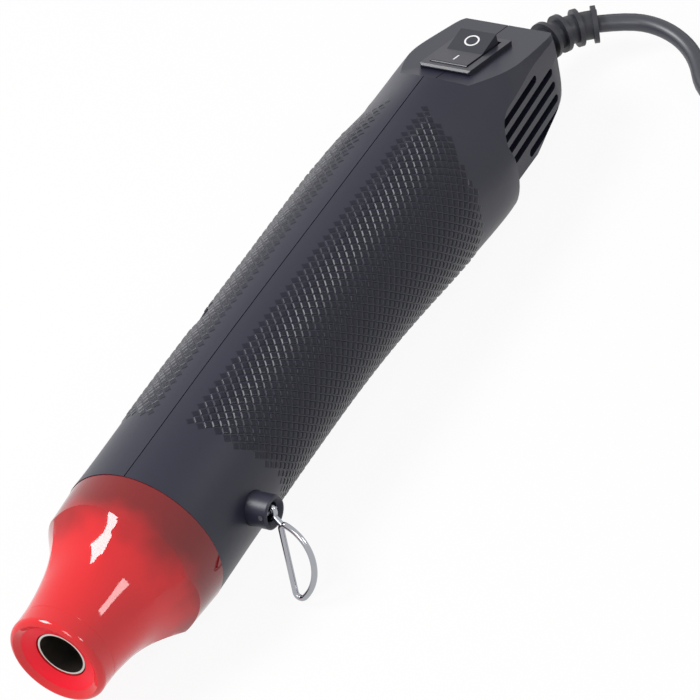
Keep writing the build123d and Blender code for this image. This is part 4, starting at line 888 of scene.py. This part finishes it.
def make_world():
    """A white studio, which lights the tool less than it shows."""
    world = bpy.data.worlds.new("studio")
    world.use_nodes = True
    tree = world.node_tree
    level = add_node(tree, "ShaderNodeMapRange", inputs={
        "Value": seen_rays(tree), "To Min": WORLD_LIGHT, "To Max": WORLD_SEEN})
    background = tree.nodes["Background"]
    background.inputs["Color"].default_value = rgba(shade("FFFFFF"))
    tree.links.new(level.outputs["Result"], background.inputs["Strength"])
    return world


def soft_light(name, location, size, power, target):
    """A rectangular lamp that faces its target."""
    lamp = bpy.data.lights.new(name, "AREA")
    lamp.shape = "RECTANGLE"
    lamp.size, lamp.size_y = size
    lamp.energy = power
    obj = link(bpy.data.objects.new(name, lamp))
    obj.location = location
    obj.rotation_euler = (target - obj.location).to_track_quat("-Z", "Y").to_euler()


def make_camera():
    """The camera of the photograph."""
    up = CAMERA_BACK.cross(CAMERA_RIGHT).normalized()
    right = up.cross(CAMERA_BACK).normalized()
    back = CAMERA_BACK.normalized()
    camera = bpy.data.cameras.new("camera")
    camera.lens, camera.sensor_width = CAMERA_LENS, CAMERA_SENSOR
    camera.clip_start, camera.clip_end = CAMERA_CLIP
    obj = link(bpy.data.objects.new("camera", camera))
    matrix = Matrix((right, up, back)).transposed().to_4x4()
    spot = back * CAMERA_DISTANCE + right * CAMERA_OFFSET[0] + up * CAMERA_OFFSET[1]
    matrix.translation = spot * MM + place(0, 0, 0)
    obj.matrix_world = matrix
    return obj


class HEATTOOL_OT_stage(bpy.types.Operator):
    """Sets the floor, the lights and the camera"""

    bl_idname = "heat_tool.stage"
    bl_label = "Stage"

    def execute(self, context):
        scene = context.scene
        floor = make_floor()
        scene.world = make_world()
        target = place(0, LAMP_TARGET_STATION, 0)
        for name, location, size, power in LAMPS:
            soft_light(name, location, size, power, target)
        scene.camera = make_camera()
        scene.view_settings.view_transform = "Standard"
        return {"FINISHED"}


class HEATTOOL_PT_panel(bpy.types.Panel):
    """Lists the steps, the sizes and the colours"""

    bl_idname = "HEATTOOL_PT_panel"
    bl_label = "Heat Tool"
    bl_space_type = "VIEW_3D"
    bl_region_type = "UI"
    bl_category = "Heat Tool"

    def draw(self, context):
        layout = self.layout
        for step in STEPS:
            layout.operator(step.bl_idname)
        for group in (context.scene.heat_tool_sizes, context.scene.heat_tool_colours):
            box = layout.box()
            for name in group.bl_rna.properties.keys():
                if name not in ("rna_type", "name"):
                    box.prop(group, name)


STEPS = (HEATTOOL_OT_finishes, HEATTOOL_OT_shells, HEATTOOL_OT_knurl, HEATTOOL_OT_cover,
         HEATTOOL_OT_switch, HEATTOOL_OT_cord, HEATTOOL_OT_stage)
CLASSES = (HeatToolSizes, HeatToolColours, *STEPS, HEATTOOL_PT_panel)


def register():
    """Registers the add-on's classes and properties."""
    for cls in CLASSES:
        bpy.utils.register_class(cls)
    bpy.types.Scene.heat_tool_sizes = PointerProperty(type=HeatToolSizes)
    bpy.types.Scene.heat_tool_colours = PointerProperty(type=HeatToolColours)


def unregister():
    """Takes them out again."""
    del bpy.types.Scene.heat_tool_colours
    del bpy.types.Scene.heat_tool_sizes
    for cls in reversed(CLASSES):
        bpy.utils.unregister_class(cls)


def main():
    """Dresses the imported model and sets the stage."""
    register()
    bpy.ops.heat_tool.finishes()
    bpy.ops.heat_tool.shells()
    bpy.ops.heat_tool.knurl()
    bpy.ops.heat_tool.cover()
    bpy.ops.heat_tool.switch()
    bpy.ops.heat_tool.cord()
    bpy.ops.heat_tool.stage()


if __name__ == "__main__":
    main()
